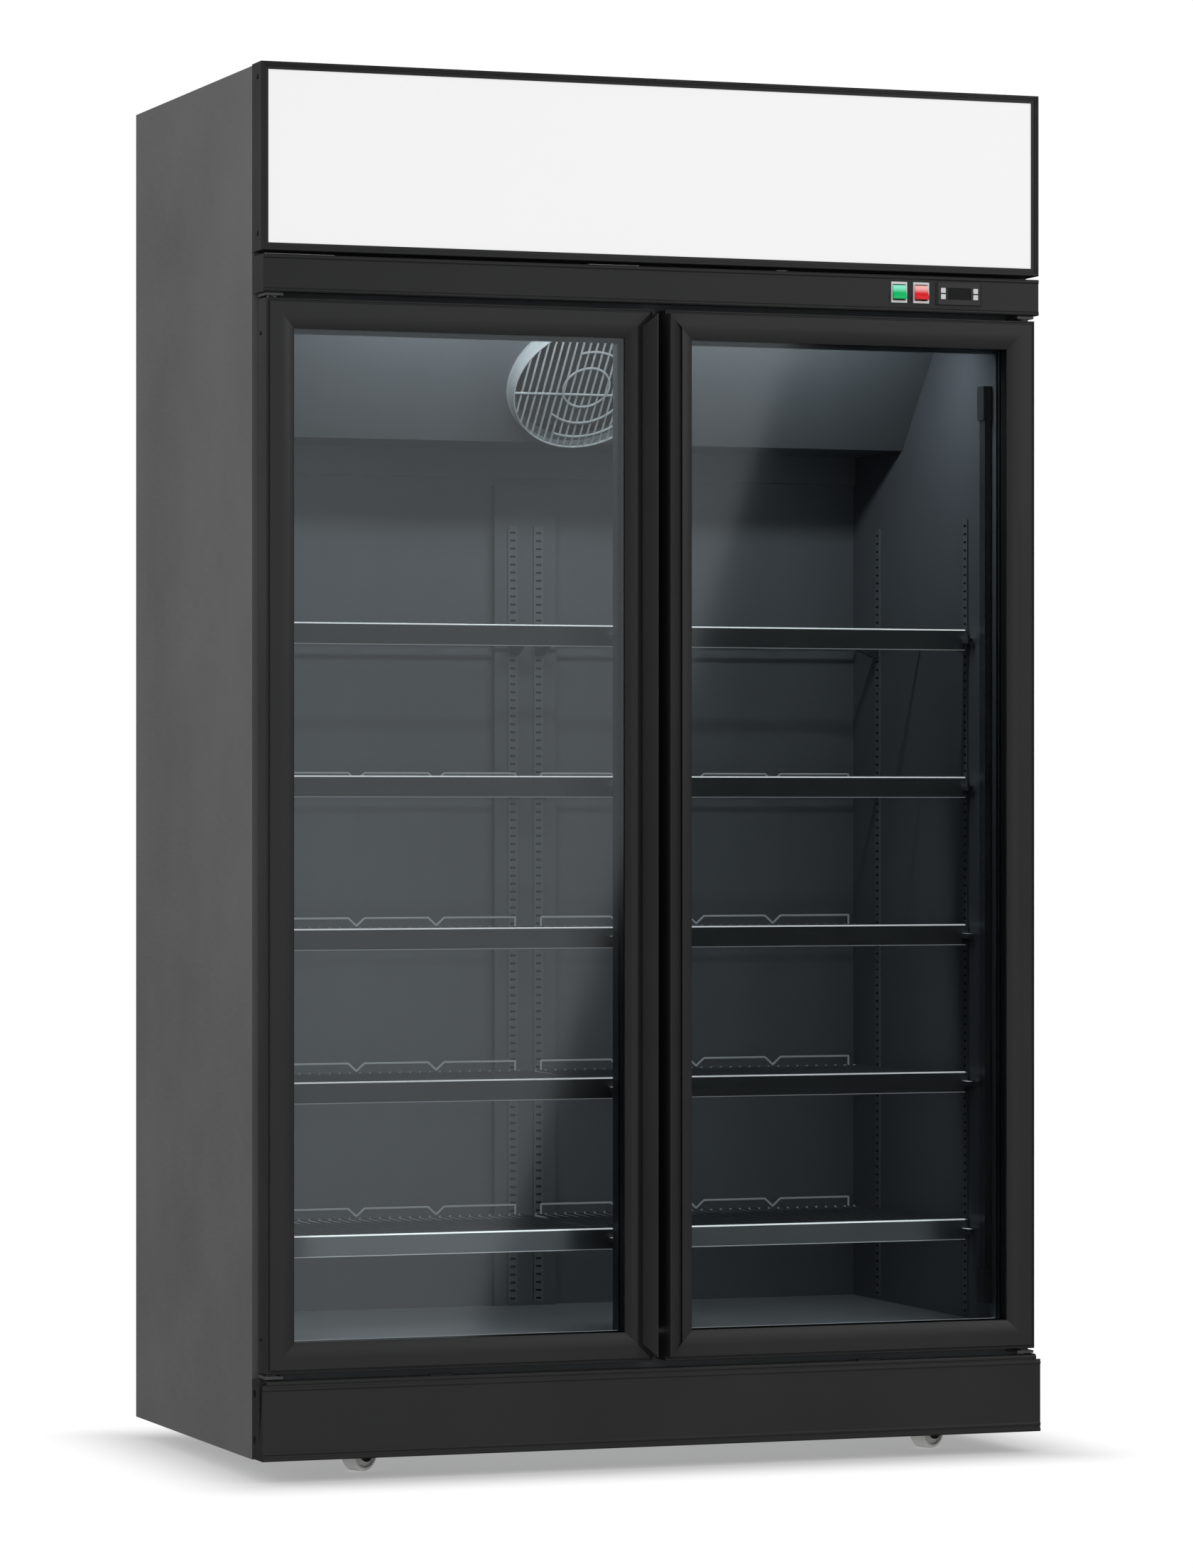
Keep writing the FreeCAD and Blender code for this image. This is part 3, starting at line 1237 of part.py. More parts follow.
def castor_wheel(label, side, kingpin):
    """Wheel with a flat tread, bevelled shoulders and recessed faces, on a plain bore."""
    radius, half = s.wheel_radius, s.wheel_width / 2
    bore = s.axle_radius + s.axle_play
    hub = 9
    dish = 4
    section = [(bore, -half + 1), (as_size(hub), -half + 1), (as_size(hub), dish - half),
               (radius - 5.4, dish - half), (radius - 5.4, -half), (radius - 3, -half),
               (radius, 4 - half), (radius, half - 4), (radius - 3, half), (radius - 5.4, half),
               (radius - 5.4, half - dish), (as_size(hub), half - dish), (as_size(hub), half - 1),
               (bore, half - 1)]
    wheel = turned(f"wheel_{label}", section,
                   castor_place(side, kingpin, s.trail.value, radius.value))
    keep(f"castor_wheel_{label}", wheel)


# ---------------------------------------------------------------- build, check and write

def build():
    side_panels()
    back_panel()
    unit_covers()
    base_pan()
    insulation()
    lining()
    front_frame()
    mullion()
    rail_plate()
    pilasters()
    shelf_clips()
    shelf_levels()
    evaporator_cover()
    evaporator_coil()
    fan_guard()
    fan_motor()
    evaporator_fan()
    canopy()
    control_fascia()
    switch_bezels()
    rockers()
    controller()
    buttons()
    kick_plate()
    for label in SIDES:
        door(label)
    hinge_brackets()
    interior_lamps()
    compressor()
    condenser_coil()
    condenser_motor()
    condenser_fan()
    castor_plates()
    for label, (side, kingpin) in CASTORS.items():
        castor_fork(label, side, kingpin)
        castor_wheel(label, side, kingpin)
    DOC.recompute()


def check():
    """Stop if any object failed or any sub-part is empty or invalid."""
    faults = [f"{obj.Label}: {obj.State}" for obj in DOC.Objects
              if "Invalid" in obj.State or "Error" in obj.State]
    for name, obj in NODES.items():
        if obj.Shape.isNull() or not obj.Shape.isValid() or not obj.Shape.Solids:
            faults.append(f"{name}: bad shape")
        elif min(solid.Volume for solid in obj.Shape.Solids) <= 0:
            faults.append(f"{name}: a solid has no volume")
    if faults:
        raise SystemExit("\n".join(faults))


def write():
    os.makedirs("parts", exist_ok=True)
    for name, obj in NODES.items():
        obj.Shape.exportStep(f"parts/{name}.step")
        print(f"{name}: {len(obj.Shape.Solids)} solids, {obj.Shape.Volume / 1000:.1f} cm3")


build()
check()
write()
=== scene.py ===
"""Studio scene of a two-door glass display cooler, in metres, +Z up, the doors facing -Y."""

import math

import bmesh
import bpy
from mathutils import Matrix, Vector


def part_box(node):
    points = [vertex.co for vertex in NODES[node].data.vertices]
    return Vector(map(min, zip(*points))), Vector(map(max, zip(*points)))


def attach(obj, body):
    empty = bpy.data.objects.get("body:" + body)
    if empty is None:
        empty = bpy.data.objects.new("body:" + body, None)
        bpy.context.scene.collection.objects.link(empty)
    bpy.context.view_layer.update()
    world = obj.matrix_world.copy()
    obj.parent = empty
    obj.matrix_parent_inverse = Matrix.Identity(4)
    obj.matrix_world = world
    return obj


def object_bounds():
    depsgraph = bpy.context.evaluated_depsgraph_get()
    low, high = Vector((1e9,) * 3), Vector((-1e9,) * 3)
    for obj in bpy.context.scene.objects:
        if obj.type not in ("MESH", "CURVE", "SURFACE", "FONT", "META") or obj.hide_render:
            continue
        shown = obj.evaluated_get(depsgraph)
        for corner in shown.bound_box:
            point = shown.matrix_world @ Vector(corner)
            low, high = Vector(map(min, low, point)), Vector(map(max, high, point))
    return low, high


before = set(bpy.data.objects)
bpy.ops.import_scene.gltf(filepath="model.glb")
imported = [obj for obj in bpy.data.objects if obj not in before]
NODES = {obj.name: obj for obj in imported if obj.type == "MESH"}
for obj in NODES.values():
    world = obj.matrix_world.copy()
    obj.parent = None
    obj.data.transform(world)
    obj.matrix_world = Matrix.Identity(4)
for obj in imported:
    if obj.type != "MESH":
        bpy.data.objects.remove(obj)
CAD_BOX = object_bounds()


# ---------------------------------------------------------------- node helpers

NOISE_LOW, NOISE_HIGH = 0.3, 0.7     # nearly all of a noise texture's values lie between these
GRAIN_SHARE = 0.35                   # how much of a surface's tone comes from its fine grain


def new_material(name):
    material = bpy.data.materials.new(name)
    material.use_nodes = True
    tree = material.node_tree
    tree.nodes.clear()
    output = tree.nodes.new("ShaderNodeOutputMaterial")
    return material, tree, output


def link(tree, start, end):
    tree.links.new(start, end)


def node(tree, kind, **settings):
    made = tree.nodes.new(kind)
    for key, value in settings.items():
        setattr(made, key, value)
    return made


def maths(tree, operation, *values):
    """The result of a maths node on numbers and on other nodes' outputs."""
    made = node(tree, "ShaderNodeMath", operation=operation)
    for end, value in zip(made.inputs, values):
        if isinstance(value, (int, float)):
            end.default_value = value
        else:
            link(tree, value, end)
    return made.outputs[0]


def object_space(tree, scale=(1, 1, 1)):
    """Position in the row frame, stretched by scale, for solid textures."""
    place = node(tree, "ShaderNodeTexCoord")
    stretch = node(tree, "ShaderNodeMapping")
    stretch.inputs["Scale"].default_value = scale
    link(tree, place.outputs["Object"], stretch.inputs["Vector"])
    return stretch.outputs["Vector"]


def parts_of(tree, vector):
    """The X, Y and Z of a vector, by name."""
    split = node(tree, "ShaderNodeSeparateXYZ")
    link(tree, vector, split.inputs["Vector"])
    return split.outputs


def noise(tree, vector, scale, detail, roughness=0.55):
    texture = node(tree, "ShaderNodeTexNoise")
    texture.inputs["Scale"].default_value = scale
    texture.inputs["Detail"].default_value = detail
    texture.inputs["Roughness"].default_value = roughness
    link(tree, vector, texture.inputs["Vector"])
    return texture.outputs["Fac"]


def ramp(tree, factor, stops):
    """A colour ramp through (position, colour) stops."""
    made = node(tree, "ShaderNodeValToRGB")
    elements = made.color_ramp.elements
    while len(elements) < len(stops):
        elements.new(0.5)
    for element, (position, colour) in zip(elements, stops):
        element.position = position
        element.color = (*colour, 1)
    link(tree, factor, made.inputs["Fac"])
    return made.outputs["Color"]


def remap(tree, factor, low, high, start=NOISE_LOW, stop=NOISE_HIGH, **settings):
    """Start to stop turned into low to high, and held at the ends."""
    made = node(tree, "ShaderNodeMapRange", **settings)
    for key, value in (("From Min", start), ("From Max", stop), ("To Min", low), ("To Max", high)):
        made.inputs[key].default_value = value
    link(tree, factor, made.inputs["Value"])
    return made.outputs["Result"]


def bump(tree, height, strength, distance):
    made = node(tree, "ShaderNodeBump")
    made.inputs["Strength"].default_value = strength
    made.inputs["Distance"].default_value = distance
    link(tree, height, made.inputs["Height"])
    return made.outputs["Normal"]


# ---------------------------------------------------------------- masks: 1 where true, else 0

def below(tree, value, limit):
    return maths(tree, "LESS_THAN", value, limit)


def above(tree, value, limit):
    return maths(tree, "GREATER_THAN", value, limit)


def within(tree, value, middle, reach):
    """True no further than reach from the middle."""
    return maths(tree, "COMPARE", value, middle, reach)


def both(tree, first, second):
    return maths(tree, "MULTIPLY", first, second)


def either(tree, first, second):
    return maths(tree, "MAXIMUM", first, second)


def repeated(tree, value, start, pitch, length):
    """True over the given length at every pitch from the start."""
    count = maths(tree, "MULTIPLY_ADD", value, 1 / pitch, -start / pitch)
    return below(tree, maths(tree, "FRACT", count), length / pitch)


# ---------------------------------------------------------------- kinds of material

def shade(colour, by):
    return tuple(max(0.0, min(1.0, c * by)) for c in colour)


def surface(name, colour, rough, metal=0.0, vary=0.12, grain=900.0, grain_depth=0.00004,
            grain_strength=0.35, stretch=(1, 1, 1), patch=3.0, rough_vary=0.08):
    """A coated or bare surface: patchy tone, a fine grain in the bump and uneven gloss."""
    material, tree, output = new_material(name)
    shader = node(tree, "ShaderNodeBsdfPrincipled")
    patches = noise(tree, object_space(tree), patch, 5.0)
    fine = noise(tree, object_space(tree, stretch), grain, 3.0, 0.6)
    mixed = maths(tree, "MULTIPLY_ADD", fine, GRAIN_SHARE,
                  maths(tree, "MULTIPLY", patches, 1 - GRAIN_SHARE))
    middle = (NOISE_LOW + NOISE_HIGH) / 2
    tone = ramp(tree, mixed, [(NOISE_LOW, shade(colour, 1 - vary)), (middle, colour),
                              (NOISE_HIGH, shade(colour, 1 + vary))])
    link(tree, tone, shader.inputs["Base Color"])
    gloss = remap(tree, mixed, rough - rough_vary, rough + rough_vary)
    link(tree, gloss, shader.inputs["Roughness"])
    link(tree, bump(tree, fine, grain_strength, grain_depth), shader.inputs["Normal"])
    shader.inputs["Metallic"].default_value = metal
    link(tree, shader.outputs["BSDF"], output.inputs["Surface"])
    return material


def shader_of(material):
    return next(n for n in material.node_tree.nodes if n.type == "BSDF_PRINCIPLED")


def lit(name, colour, rough, glow_colour, glow, vary=0.02):
    """A diffusing plastic with light behind it."""
    material = surface(name, colour, rough, vary=vary, grain=500.0, grain_depth=0.00002,
                       rough_vary=0.04)
    shader = shader_of(material)
    shader.inputs["Emission Color"].default_value = (*glow_colour, 1)
    shader.inputs["Emission Strength"].default_value = glow
    return material


def pane(name, tint, index, front):
    """Thin clear sheets: light passes straight through, and the face at front mirrors too."""
    material, tree, output = new_material(name)
    clear = node(tree, "ShaderNodeBsdfTransparent")
    smears = noise(tree, object_space(tree, (1, 1, 0.25)), 9.0, 3.0)
    link(tree, ramp(tree, smears, [(0.35, shade(tint, 0.985)), (0.65, tint)]),
         clear.inputs["Color"])
    mirror = node(tree, "ShaderNodeBsdfGlossy")
    mirror.inputs["Color"].default_value = (0.95, 0.98, 1.0, 1)
    link(tree, remap(tree, smears, 0.065, 0.085), mirror.inputs["Roughness"])
    facing = node(tree, "ShaderNodeFresnel")
    facing.inputs["IOR"].default_value = index
    skin = 0.0008
    outer = below(tree, parts_of(tree, object_space(tree))["Y"], front + skin)
    mixed = node(tree, "ShaderNodeMixShader")
    link(tree, both(tree, facing.outputs["Fac"], outer), mixed.inputs["Fac"])
    link(tree, clear.outputs["BSDF"], mixed.inputs[1])
    link(tree, mirror.outputs["BSDF"], mixed.inputs[2])
    link(tree, mixed.outputs["Shader"], output.inputs["Surface"])
    return material


def paint(material, mask, colour, glow=0.0):
    """Another colour, and a little light, where the mask is 1."""
    tree = material.node_tree
    shader = shader_of(material)
    mixed = node(tree, "ShaderNodeMix", data_type="RGBA")
    colours = [end for end in mixed.inputs if end.type == "RGBA"]
    link(tree, mask, mixed.inputs[0])
    link(tree, shader.inputs["Base Color"].links[0].from_socket, colours[0])
    colours[1].default_value = (*colour, 1)
    shown = next(end for end in mixed.outputs if end.type == "RGBA")
    link(tree, shown, shader.inputs["Base Color"])
    if glow:
        shader.inputs["Emission Color"].default_value = (*colour, 1)
        strength = shader.inputs["Emission Strength"]
        total = maths(tree, "MULTIPLY", mask, glow)
        if strength.links:
            total = either(tree, total, strength.links[0].from_socket)
        link(tree, total, strength)


# ---------------------------------------------------------------- materials of the CAD nodes

GREY_SHEET = surface("grey_powder_coat", (0.105, 0.105, 0.105), 0.5, vary=0.1, grain=420.0,
                     grain_depth=0.00006, stretch=(1, 0.08, 1))
BLACK_FRAME = surface("satin_black", (0.018, 0.018, 0.018), 0.42, vary=0.12, grain=1100.0)
DOOR_BLACK = surface("door_extrusion", (0.023, 0.023, 0.023), 0.42, vary=0.1, grain=1100.0)
GALVANISED = surface("galvanised_sheet", (0.34, 0.35, 0.36), 0.4, metal=0.2, vary=0.2, patch=40.0)
FOAM = surface("foam", (0.75, 0.68, 0.45), 0.9, vary=0.1, grain=300.0, grain_depth=0.0003)
LINING = surface("lining_sheet", (0.115, 0.127, 0.142), 0.45, metal=0.1, vary=0.08, grain=500.0,
                 stretch=(0.06, 1, 1), patch=1.6)
TRAY = surface("brushed_tray", (0.54, 0.58, 0.61), 0.38, metal=0.3, vary=0.16, grain=700.0,
               stretch=(0.03, 1, 1), patch=5.0)
BREAKER = surface("breaker_plastic", (0.12, 0.132, 0.14), 0.45, vary=0.06)
POST = surface("post_plastic", (0.045, 0.049, 0.053), 0.4, vary=0.08)
STRIP = surface("slotted_strip", (0.15, 0.168, 0.18), 0.4, metal=0.2, vary=0.1)
SHELF = surface("shelf_coating", (0.085, 0.094, 0.101), 0.36, vary=0.1, grain=1500.0)
COVER = surface("cover_sheet", (0.12, 0.133, 0.146), 0.42, metal=0.1, vary=0.07, grain=500.0,
                stretch=(0.06, 1, 1), patch=1.6)
FINS = surface("fin_block", (0.5, 0.52, 0.53), 0.4, metal=0.9, vary=0.3, grain=700.0,
               grain_depth=0.0006, grain_strength=1.0, stretch=(1, 0.02, 0.02))
GUARD = surface("guard_coating", (0.42, 0.455, 0.475), 0.3, vary=0.06)
MOTOR = surface("motor_black", (0.03, 0.03, 0.032), 0.45, vary=0.2)
SIGN = lit("sign_acrylic", (0.2, 0.2, 0.2), 0.4, (1.0, 1.0, 1.0), 0.7, vary=0.012)
TUBE = lit("lamp_tube", (0.75, 0.78, 0.8), 0.4, (0.95, 0.98, 1.0), 0.3)
LAMP = surface("lamp_bar", (0.05, 0.055, 0.058), 0.3, vary=0.1)
SWITCH_WHITE = surface("switch_white", (0.62, 0.62, 0.62), 0.35, vary=0.04)
CONTROLLER = surface("controller_black", (0.03, 0.03, 0.031), 0.3, vary=0.15)
GREEN = surface("green_key", (0.0, 0.5, 0.14), 0.2, vary=0.1, grain=300.0)
RED = surface("red_key", (0.7, 0.012, 0.02), 0.2, vary=0.1, grain=300.0)
KEY_WHITE = surface("key_white", (0.6, 0.61, 0.62), 0.4, vary=0.05)
GLASS = pane("door_glass", (0.96, 0.97, 0.97), 2.1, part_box("left_glass")[0].y)
SEAL = surface("seal_rubber", (0.02, 0.022, 0.022), 0.7, vary=0.2)
BRACKET = surface("bracket_steel", (0.12, 0.12, 0.125), 0.4, metal=0.5, vary=0.15)
FORK = surface("fork_black", (0.012, 0.012, 0.012), 0.35, vary=0.2)
WHEEL = surface("wheel_grey", (0.42, 0.42, 0.41), 0.45, vary=0.08, grain=400.0)
FAN = surface("fan_plastic", (0.025, 0.026, 0.028), 0.5, vary=0.15)

FINISH = {
    "side_panel_left": GREY_SHEET, "side_panel_right": GREY_SHEET, "back_panel": GALVANISED,
    "unit_covers": GREY_SHEET, "base_pan": GALVANISED, "insulation": FOAM,
    "inner_liner": LINING, "floor_pan": TRAY, "front_frame": BREAKER, "mullion": POST,
    "rail_plate": LINING, "shelf_pilasters": STRIP, "shelf_clips": POST,
    "evaporator_cover": COVER, "evaporator_coil": FINS, "fan_guard": GUARD, "fan_motor": MOTOR,
    "evaporator_fan": FAN, "canopy_box": BLACK_FRAME, "canopy_frame": BLACK_FRAME,
    "sign_panel": SIGN, "canopy_lamps": TUBE, "control_fascia": BLACK_FRAME,
    "switch_bezels": SWITCH_WHITE, "controller": CONTROLLER, "green_rocker": GREEN,
    "red_rocker": RED, "kick_plate": DOOR_BLACK, "interior_lamps": LAMP, "compressor": MOTOR,
    "condenser_coil": FINS, "condenser_motor": MOTOR, "condenser_fan": FAN,
    "castor_plates": BRACKET, "hinge_brackets": BRACKET,
}
FINISH_BY_START = {"shelf_level": SHELF, "button_": KEY_WHITE, "castor_fork": FORK,
                   "castor_wheel": WHEEL}
FINISH_BY_END = {"_door_frame": DOOR_BLACK, "_handle": DOOR_BLACK, "_glass": GLASS,
                 "_seals": SEAL}


def finish_of(name):
    if name in FINISH:
        return FINISH[name]
    for start, material in FINISH_BY_START.items():
        if name.startswith(start):
            return material
    for end, material in FINISH_BY_END.items():
        if name.endswith(end):
            return material
    raise ValueError(name)


for name, obj in NODES.items():
    obj.data.materials.clear()
    obj.data.materials.append(finish_of(name))


# ---------------------------------------------------------------- details, highlights and shade painted on the parts

CENTRE_STRIP_X = 0.021               # middle of each upright on the post and on the rail plate
WALL_STRIPS_Y = (-0.165, 0.176)      # middles of the uprights on the side walls
# painted shade for the slots of the uprights
HOLE_SHADE = (0.004, 0.0045, 0.005)


def paint_shelf_highlights():
    """Painted highlights: a bright edge along each front rail, a paler line on its hem below, and
    pale back stops, all faintly glowing.
    """
    tree = SHELF.node_tree
    place = parts_of(tree, object_space(tree))
    facing = parts_of(tree, node(tree, "ShaderNodeNewGeometry").outputs["True Normal"])
    low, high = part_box("shelf_level_1")
    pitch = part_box("shelf_level_2")[0].z - low.z
    rail_rear, fence_depth, upward = 0.0287, 0.008, 0.25
    hem_under, hem_height = 0.0002, 0.0014
    front = below(tree, place["Y"], low.y + rail_rear)
    top = both(tree, above(tree, facing["Z"], upward), front)
    hem = both(tree, repeated(tree, place["Z"], low.z - hem_under, pitch, hem_height), front)
    fence = above(tree, place["Y"], high.y - fence_depth)
    # painted highlight: back stops pale and faintly glowing
    paint(SHELF, fence, (0.36, 0.39, 0.41), 0.07)
    # painted highlight: a paler, faintly glowing line on the hem
    paint(SHELF, hem, (0.3, 0.33, 0.35), 0.12)
    # painted highlight: the top of each front rail near white and glowing
    paint(SHELF, top, (0.9, 0.94, 0.96), 0.45)


def paint_slot_shade():
    """A column of dark slots down the middle of each upright, painted shade that makes the slots read
    as holes.
    """
    tree = STRIP.node_tree
    place = parts_of(tree, object_space(tree))
    low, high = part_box("shelf_pilasters")
    first_slot, slot_pitch, slot_height, slot_half = 0.0034, 0.0123, 0.0032, 0.0044
    wall_reach = 0.052
    across = maths(tree, "ABSOLUTE", place["X"])
    centre = within(tree, across, CENTRE_STRIP_X, slot_half)
    on_wall = above(tree, across, high.x - wall_reach)
    beside = either(tree, *(within(tree, place["Y"], y, slot_half) for y in WALL_STRIPS_Y))
    columns = either(tree, centre, both(tree, on_wall, beside))
    slots = repeated(tree, place["Z"], low.z + first_slot, slot_pitch, slot_height)
    # painted shade over the slots
    paint(STRIP, both(tree, columns, slots), HOLE_SHADE)


def paint_sill_highlight():
    """A painted highlight: a bright, faintly glowing line where the front frame meets the floor tray.
    """
    tree = BREAKER.node_tree
    place = parts_of(tree, object_space(tree))
    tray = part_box("floor_pan")[1]
    rise, half_height = 0.0067, 0.0016
    sill = both(tree, within(tree, place["Z"], tray.z + rise, half_height),
                within(tree, place["X"], 0.0, tray.x))
    # painted highlight, glowing a little
    paint(BREAKER, sill, (0.85, 0.9, 0.92), 0.3)


def paint_window():
    """The dark display in the middle of the controller."""
    tree = CONTROLLER.node_tree
    place = parts_of(tree, object_space(tree))
    low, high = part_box("controller")
    middle = (low + high) / 2
    half_width, half_height = 0.0187, 0.0088
    window = both(tree, within(tree, place["X"], middle.x, half_width),
                  within(tree, place["Z"], middle.z, half_height))
    paint(CONTROLLER, window, (0.002, 0.002, 0.002))


def paint_rocker_highlights():
    """Each rocker grows paler over its upper half: a painted highlight."""
    fade_start, fade_stop = -0.0009, 0.0061
    for material, part, colour in ((GREEN, "green_rocker", (0.25, 0.85, 0.62)),
                                   (RED, "red_rocker", (0.95, 0.45, 0.42))):
        tree = material.node_tree
        place = parts_of(tree, object_space(tree))
        low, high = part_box(part)
        middle = (low.z + high.z) / 2
        fade = remap(tree, place["Z"], 0.0, 1.0, middle + fade_start, middle + fade_stop)
        # painted highlight over the upper half
        paint(material, fade, colour)


paint_shelf_highlights()
paint_slot_shade()
paint_sill_highlight()
paint_window()
paint_rocker_highlights()


# ---------------------------------------------------------------- small pieces that ride on the frame

def mesh_object(name, build, material, body):
    """A new mesh made by build(bmesh), placed in the row frame, that rides on a CAD body."""
    mesh = bpy.data.meshes.new(name)
    work = bmesh.new()
    build(work)
    work.to_mesh(mesh)
    work.free()
    obj = bpy.data.objects.new(name, mesh)
    bpy.context.scene.collection.objects.link(obj)
    mesh.materials.append(material)
    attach(obj, body)


def ring_of(work, centre, turn, radius, height, steps):
    """Vertices round the axis at one height, or a single one where the radius is nothing."""
    if not radius:
        return [work.verts.new(centre + turn @ Vector((0, 0, height)))]
    ring = []
    for step in range(steps):
        angle = 2 * math.pi * step / steps
        local = Vector((radius * math.cos(angle), radius * math.sin(angle), height))
        ring.append(work.verts.new(centre + turn @ local))
    return ring


def lathe(work, profile, centre, axis, steps=24):
    """A closed solid turned from (radius, height) points about an axis through the centre."""
    turn = Vector((0, 0, 1)).rotation_difference(Vector(axis)).to_matrix().to_4x4()
    rings = [ring_of(work, Vector(centre), turn, radius, height, steps)
             for radius, height in profile]
    for low, high in zip(rings, rings[1:]):
        for step in range(steps):
            follow = (step + 1) % steps
            corners = []
            for ring, index in ((low, step), (low, follow), (high, follow), (high, step)):
                vertex = ring[index % len(ring)]
                if vertex not in corners:
                    corners.append(vertex)
            if len(corners) > 2:
                face = work.faces.new(corners)
                face.smooth = True


def screw(work, centre, axis, radius):
    """A low pan-head screw with a dip in the middle of its crown."""
    profile = [(0.0, -0.0006), (radius * 0.98, -0.0006), (radius, 0.0004),
               (radius * 0.92, 0.0012), (radius * 0.6, 0.0019), (radius * 0.3, 0.0021),
               (radius * 0.22, 0.0012), (0.0, 0.001)]
    lathe(work, profile, centre, axis)


def canopy_screws(work):
    """Two screws on each end of the light box."""
    low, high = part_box("canopy_box")
    behind_front, below_top, above_foot, radius = 0.0106, 0.0209, 0.0247, 0.0035
    for side, x in ((-1, low.x), (1, high.x)):
        for z in (high.z - below_top, low.z + above_foot):
            screw(work, (x, low.y + behind_front, z), (side, 0, 0), radius)


def door_screws(side_name, side):
    """Two screws in the outer edge of a door."""
    low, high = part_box(f"{side_name}_door_frame")
    before_rear, above_foot, below_top, radius = 0.012, 0.0475, 0.049, 0.003

    def build(work):
        x = low.x if side < 0 else high.x
        for z in (low.z + above_foot, high.z - below_top):
            screw(work, (x, high.y - before_rear, z), (side, 0, 0), radius)
    return build


SCREW = surface("screw_black", (0.03, 0.03, 0.03), 0.3, metal=0.6, vary=0.2)
mesh_object("canopy_screws", canopy_screws, SCREW, "cabinet")
for side_name, side in (("left", -1), ("right", 1)):
    mesh_object(f"{side_name}_door_screws", door_screws(side_name, side), SCREW,
                f"{side_name}_door")


def slab(work, low, high):
    """A thin plate between two corners."""
    made = bmesh.ops.create_cube(work, size=1.0)
    size = Vector(high) - Vector(low)
    middle = (Vector(high) + Vector(low)) / 2
    place = Matrix.Translation(middle) @ Matrix.Diagonal((*size, 1))
    bmesh.ops.transform(work, matrix=place, verts=made["verts"])


def slot_shade_backing(work):
    """Dark strips inside the slotted uprights, painted shade so that their slots read as holes."""
    low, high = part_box("shelf_pilasters")
    near, far, half, end_gap = 0.0001, 0.0004, 0.0046, 0.004
    foot, head = low.z + end_gap, high.z - end_gap
    for side in (-1, 1):
        for y in WALL_STRIPS_Y:
            x = sorted((side * (high.x - far), side * (high.x - near)))
            slab(work, (x[0], y - half, foot), (x[1], y + half, head))
        middle = side * CENTRE_STRIP_X
        for y in ((high.y - far, high.y - near), (low.y + near, low.y + far)):
            slab(work, (middle - half, y[0], foot), (middle + half, y[1], head))


# painted shade inside the slotted uprights
SLOT_SHADE = surface("slot_shade", HOLE_SHADE, 0.7, vary=0.2)
mesh_object("slot_shadows", slot_shade_backing, SLOT_SHADE, "cabinet")


# ---------------------------------------------------------------- floor and surroundings

STUDIO_WHITE = 1.02                  # just past white, so the floor and the sky leave no seam
FLOOR_REACH = 500


def stage_plane(name, corners, material):
    mesh = bpy.data.meshes.new(name)
    mesh.from_pydata([tuple(c) for c in corners], [], [tuple(range(len(corners)))])
    mesh.materials.append(material)
    obj = bpy.data.objects.new(name, mesh)
    bpy.context.scene.collection.objects.link(obj)
    return obj


def distance_from_footprint(tree):
    """How far a point of the floor lies outside the object's footprint."""
    place = parts_of(tree, node(tree, "ShaderNodeNewGeometry").outputs["Position"])
    squares = []
    for axis, half in (("X", CAD_BOX[1].x), ("Y", CAD_BOX[1].y)):
        beyond = maths(tree, "SUBTRACT", maths(tree, "ABSOLUTE", place[axis]), half)
        outside = maths(tree, "MAXIMUM", beyond, 0.0)
        squares.append(maths(tree, "POWER", outside, 2.0))
    return maths(tree, "SQRT", maths(tree, "ADD", *squares))


def floor_material():
    """White floor that takes a soft shadow close to the footprint, darkened there by a painted
    shadow, and is plain white beyond.
    """
    material, tree, output = new_material("studio_floor")
    fade = remap(tree, distance_from_footprint(tree), 0.0, 1.0, -0.1, 0.18,
                 interpolation_type="SMOOTHSTEP")
    # painted shadow: a grey that fades out away from the footprint
    matt = node(tree, "ShaderNodeBsdfDiffuse")
    matt.inputs["Color"].default_value = (0.6, 0.6, 0.6, 1)
    glow = node(tree, "ShaderNodeEmission")
    glow.inputs["Color"].default_value = (1, 1, 1, 1)
    glow.inputs["Strength"].default_value = STUDIO_WHITE
    mixed = node(tree, "ShaderNodeMixShader")
    link(tree, fade, mixed.inputs["Fac"])
    link(tree, matt.outputs["BSDF"], mixed.inputs[1])
    link(tree, glow.outputs["Emission"], mixed.inputs[2])
    link(tree, mixed.outputs["Shader"], output.inputs["Surface"])
    return material


def studio_floor():
    corners = [(x * FLOOR_REACH, y * FLOOR_REACH, 0)
               for x, y in ((-1, -1), (1, -1), (1, 1), (-1, 1))]
    floor = stage_plane("studio_floor_plane", corners, floor_material())
    floor.visible_diffuse = False
    floor.visible_glossy = False


def studio_world():
    """White all round above the floor, and dimmer from below."""
    world = bpy.data.worlds.new("studio_world")
    world.use_nodes = True
    tree = world.node_tree
    background = tree.nodes["Background"]
    place = node(tree, "ShaderNodeTexCoord")
    level = parts_of(tree, place.outputs["Generated"])["Z"]
    lift = 0.05                      # a ramp starts at 0, so this brings the horizon inside it
    raised = maths(tree, "ADD", level, lift)
    tone = ramp(tree, raised, [(0.03, (0.72, 0.72, 0.72)), (0.045, (1.0, 1.0, 1.0))])
    link(tree, tone, background.inputs["Color"])
    background.inputs["Strength"].default_value = STUDIO_WHITE
    bpy.context.scene.world = world
    world.cycles_visibility.glossy = False


studio_floor()
studio_world()


# ---------------------------------------------------------------- light

WHITE = (1, 1, 1)
COOL_WHITE = (0.93, 0.97, 1.0)


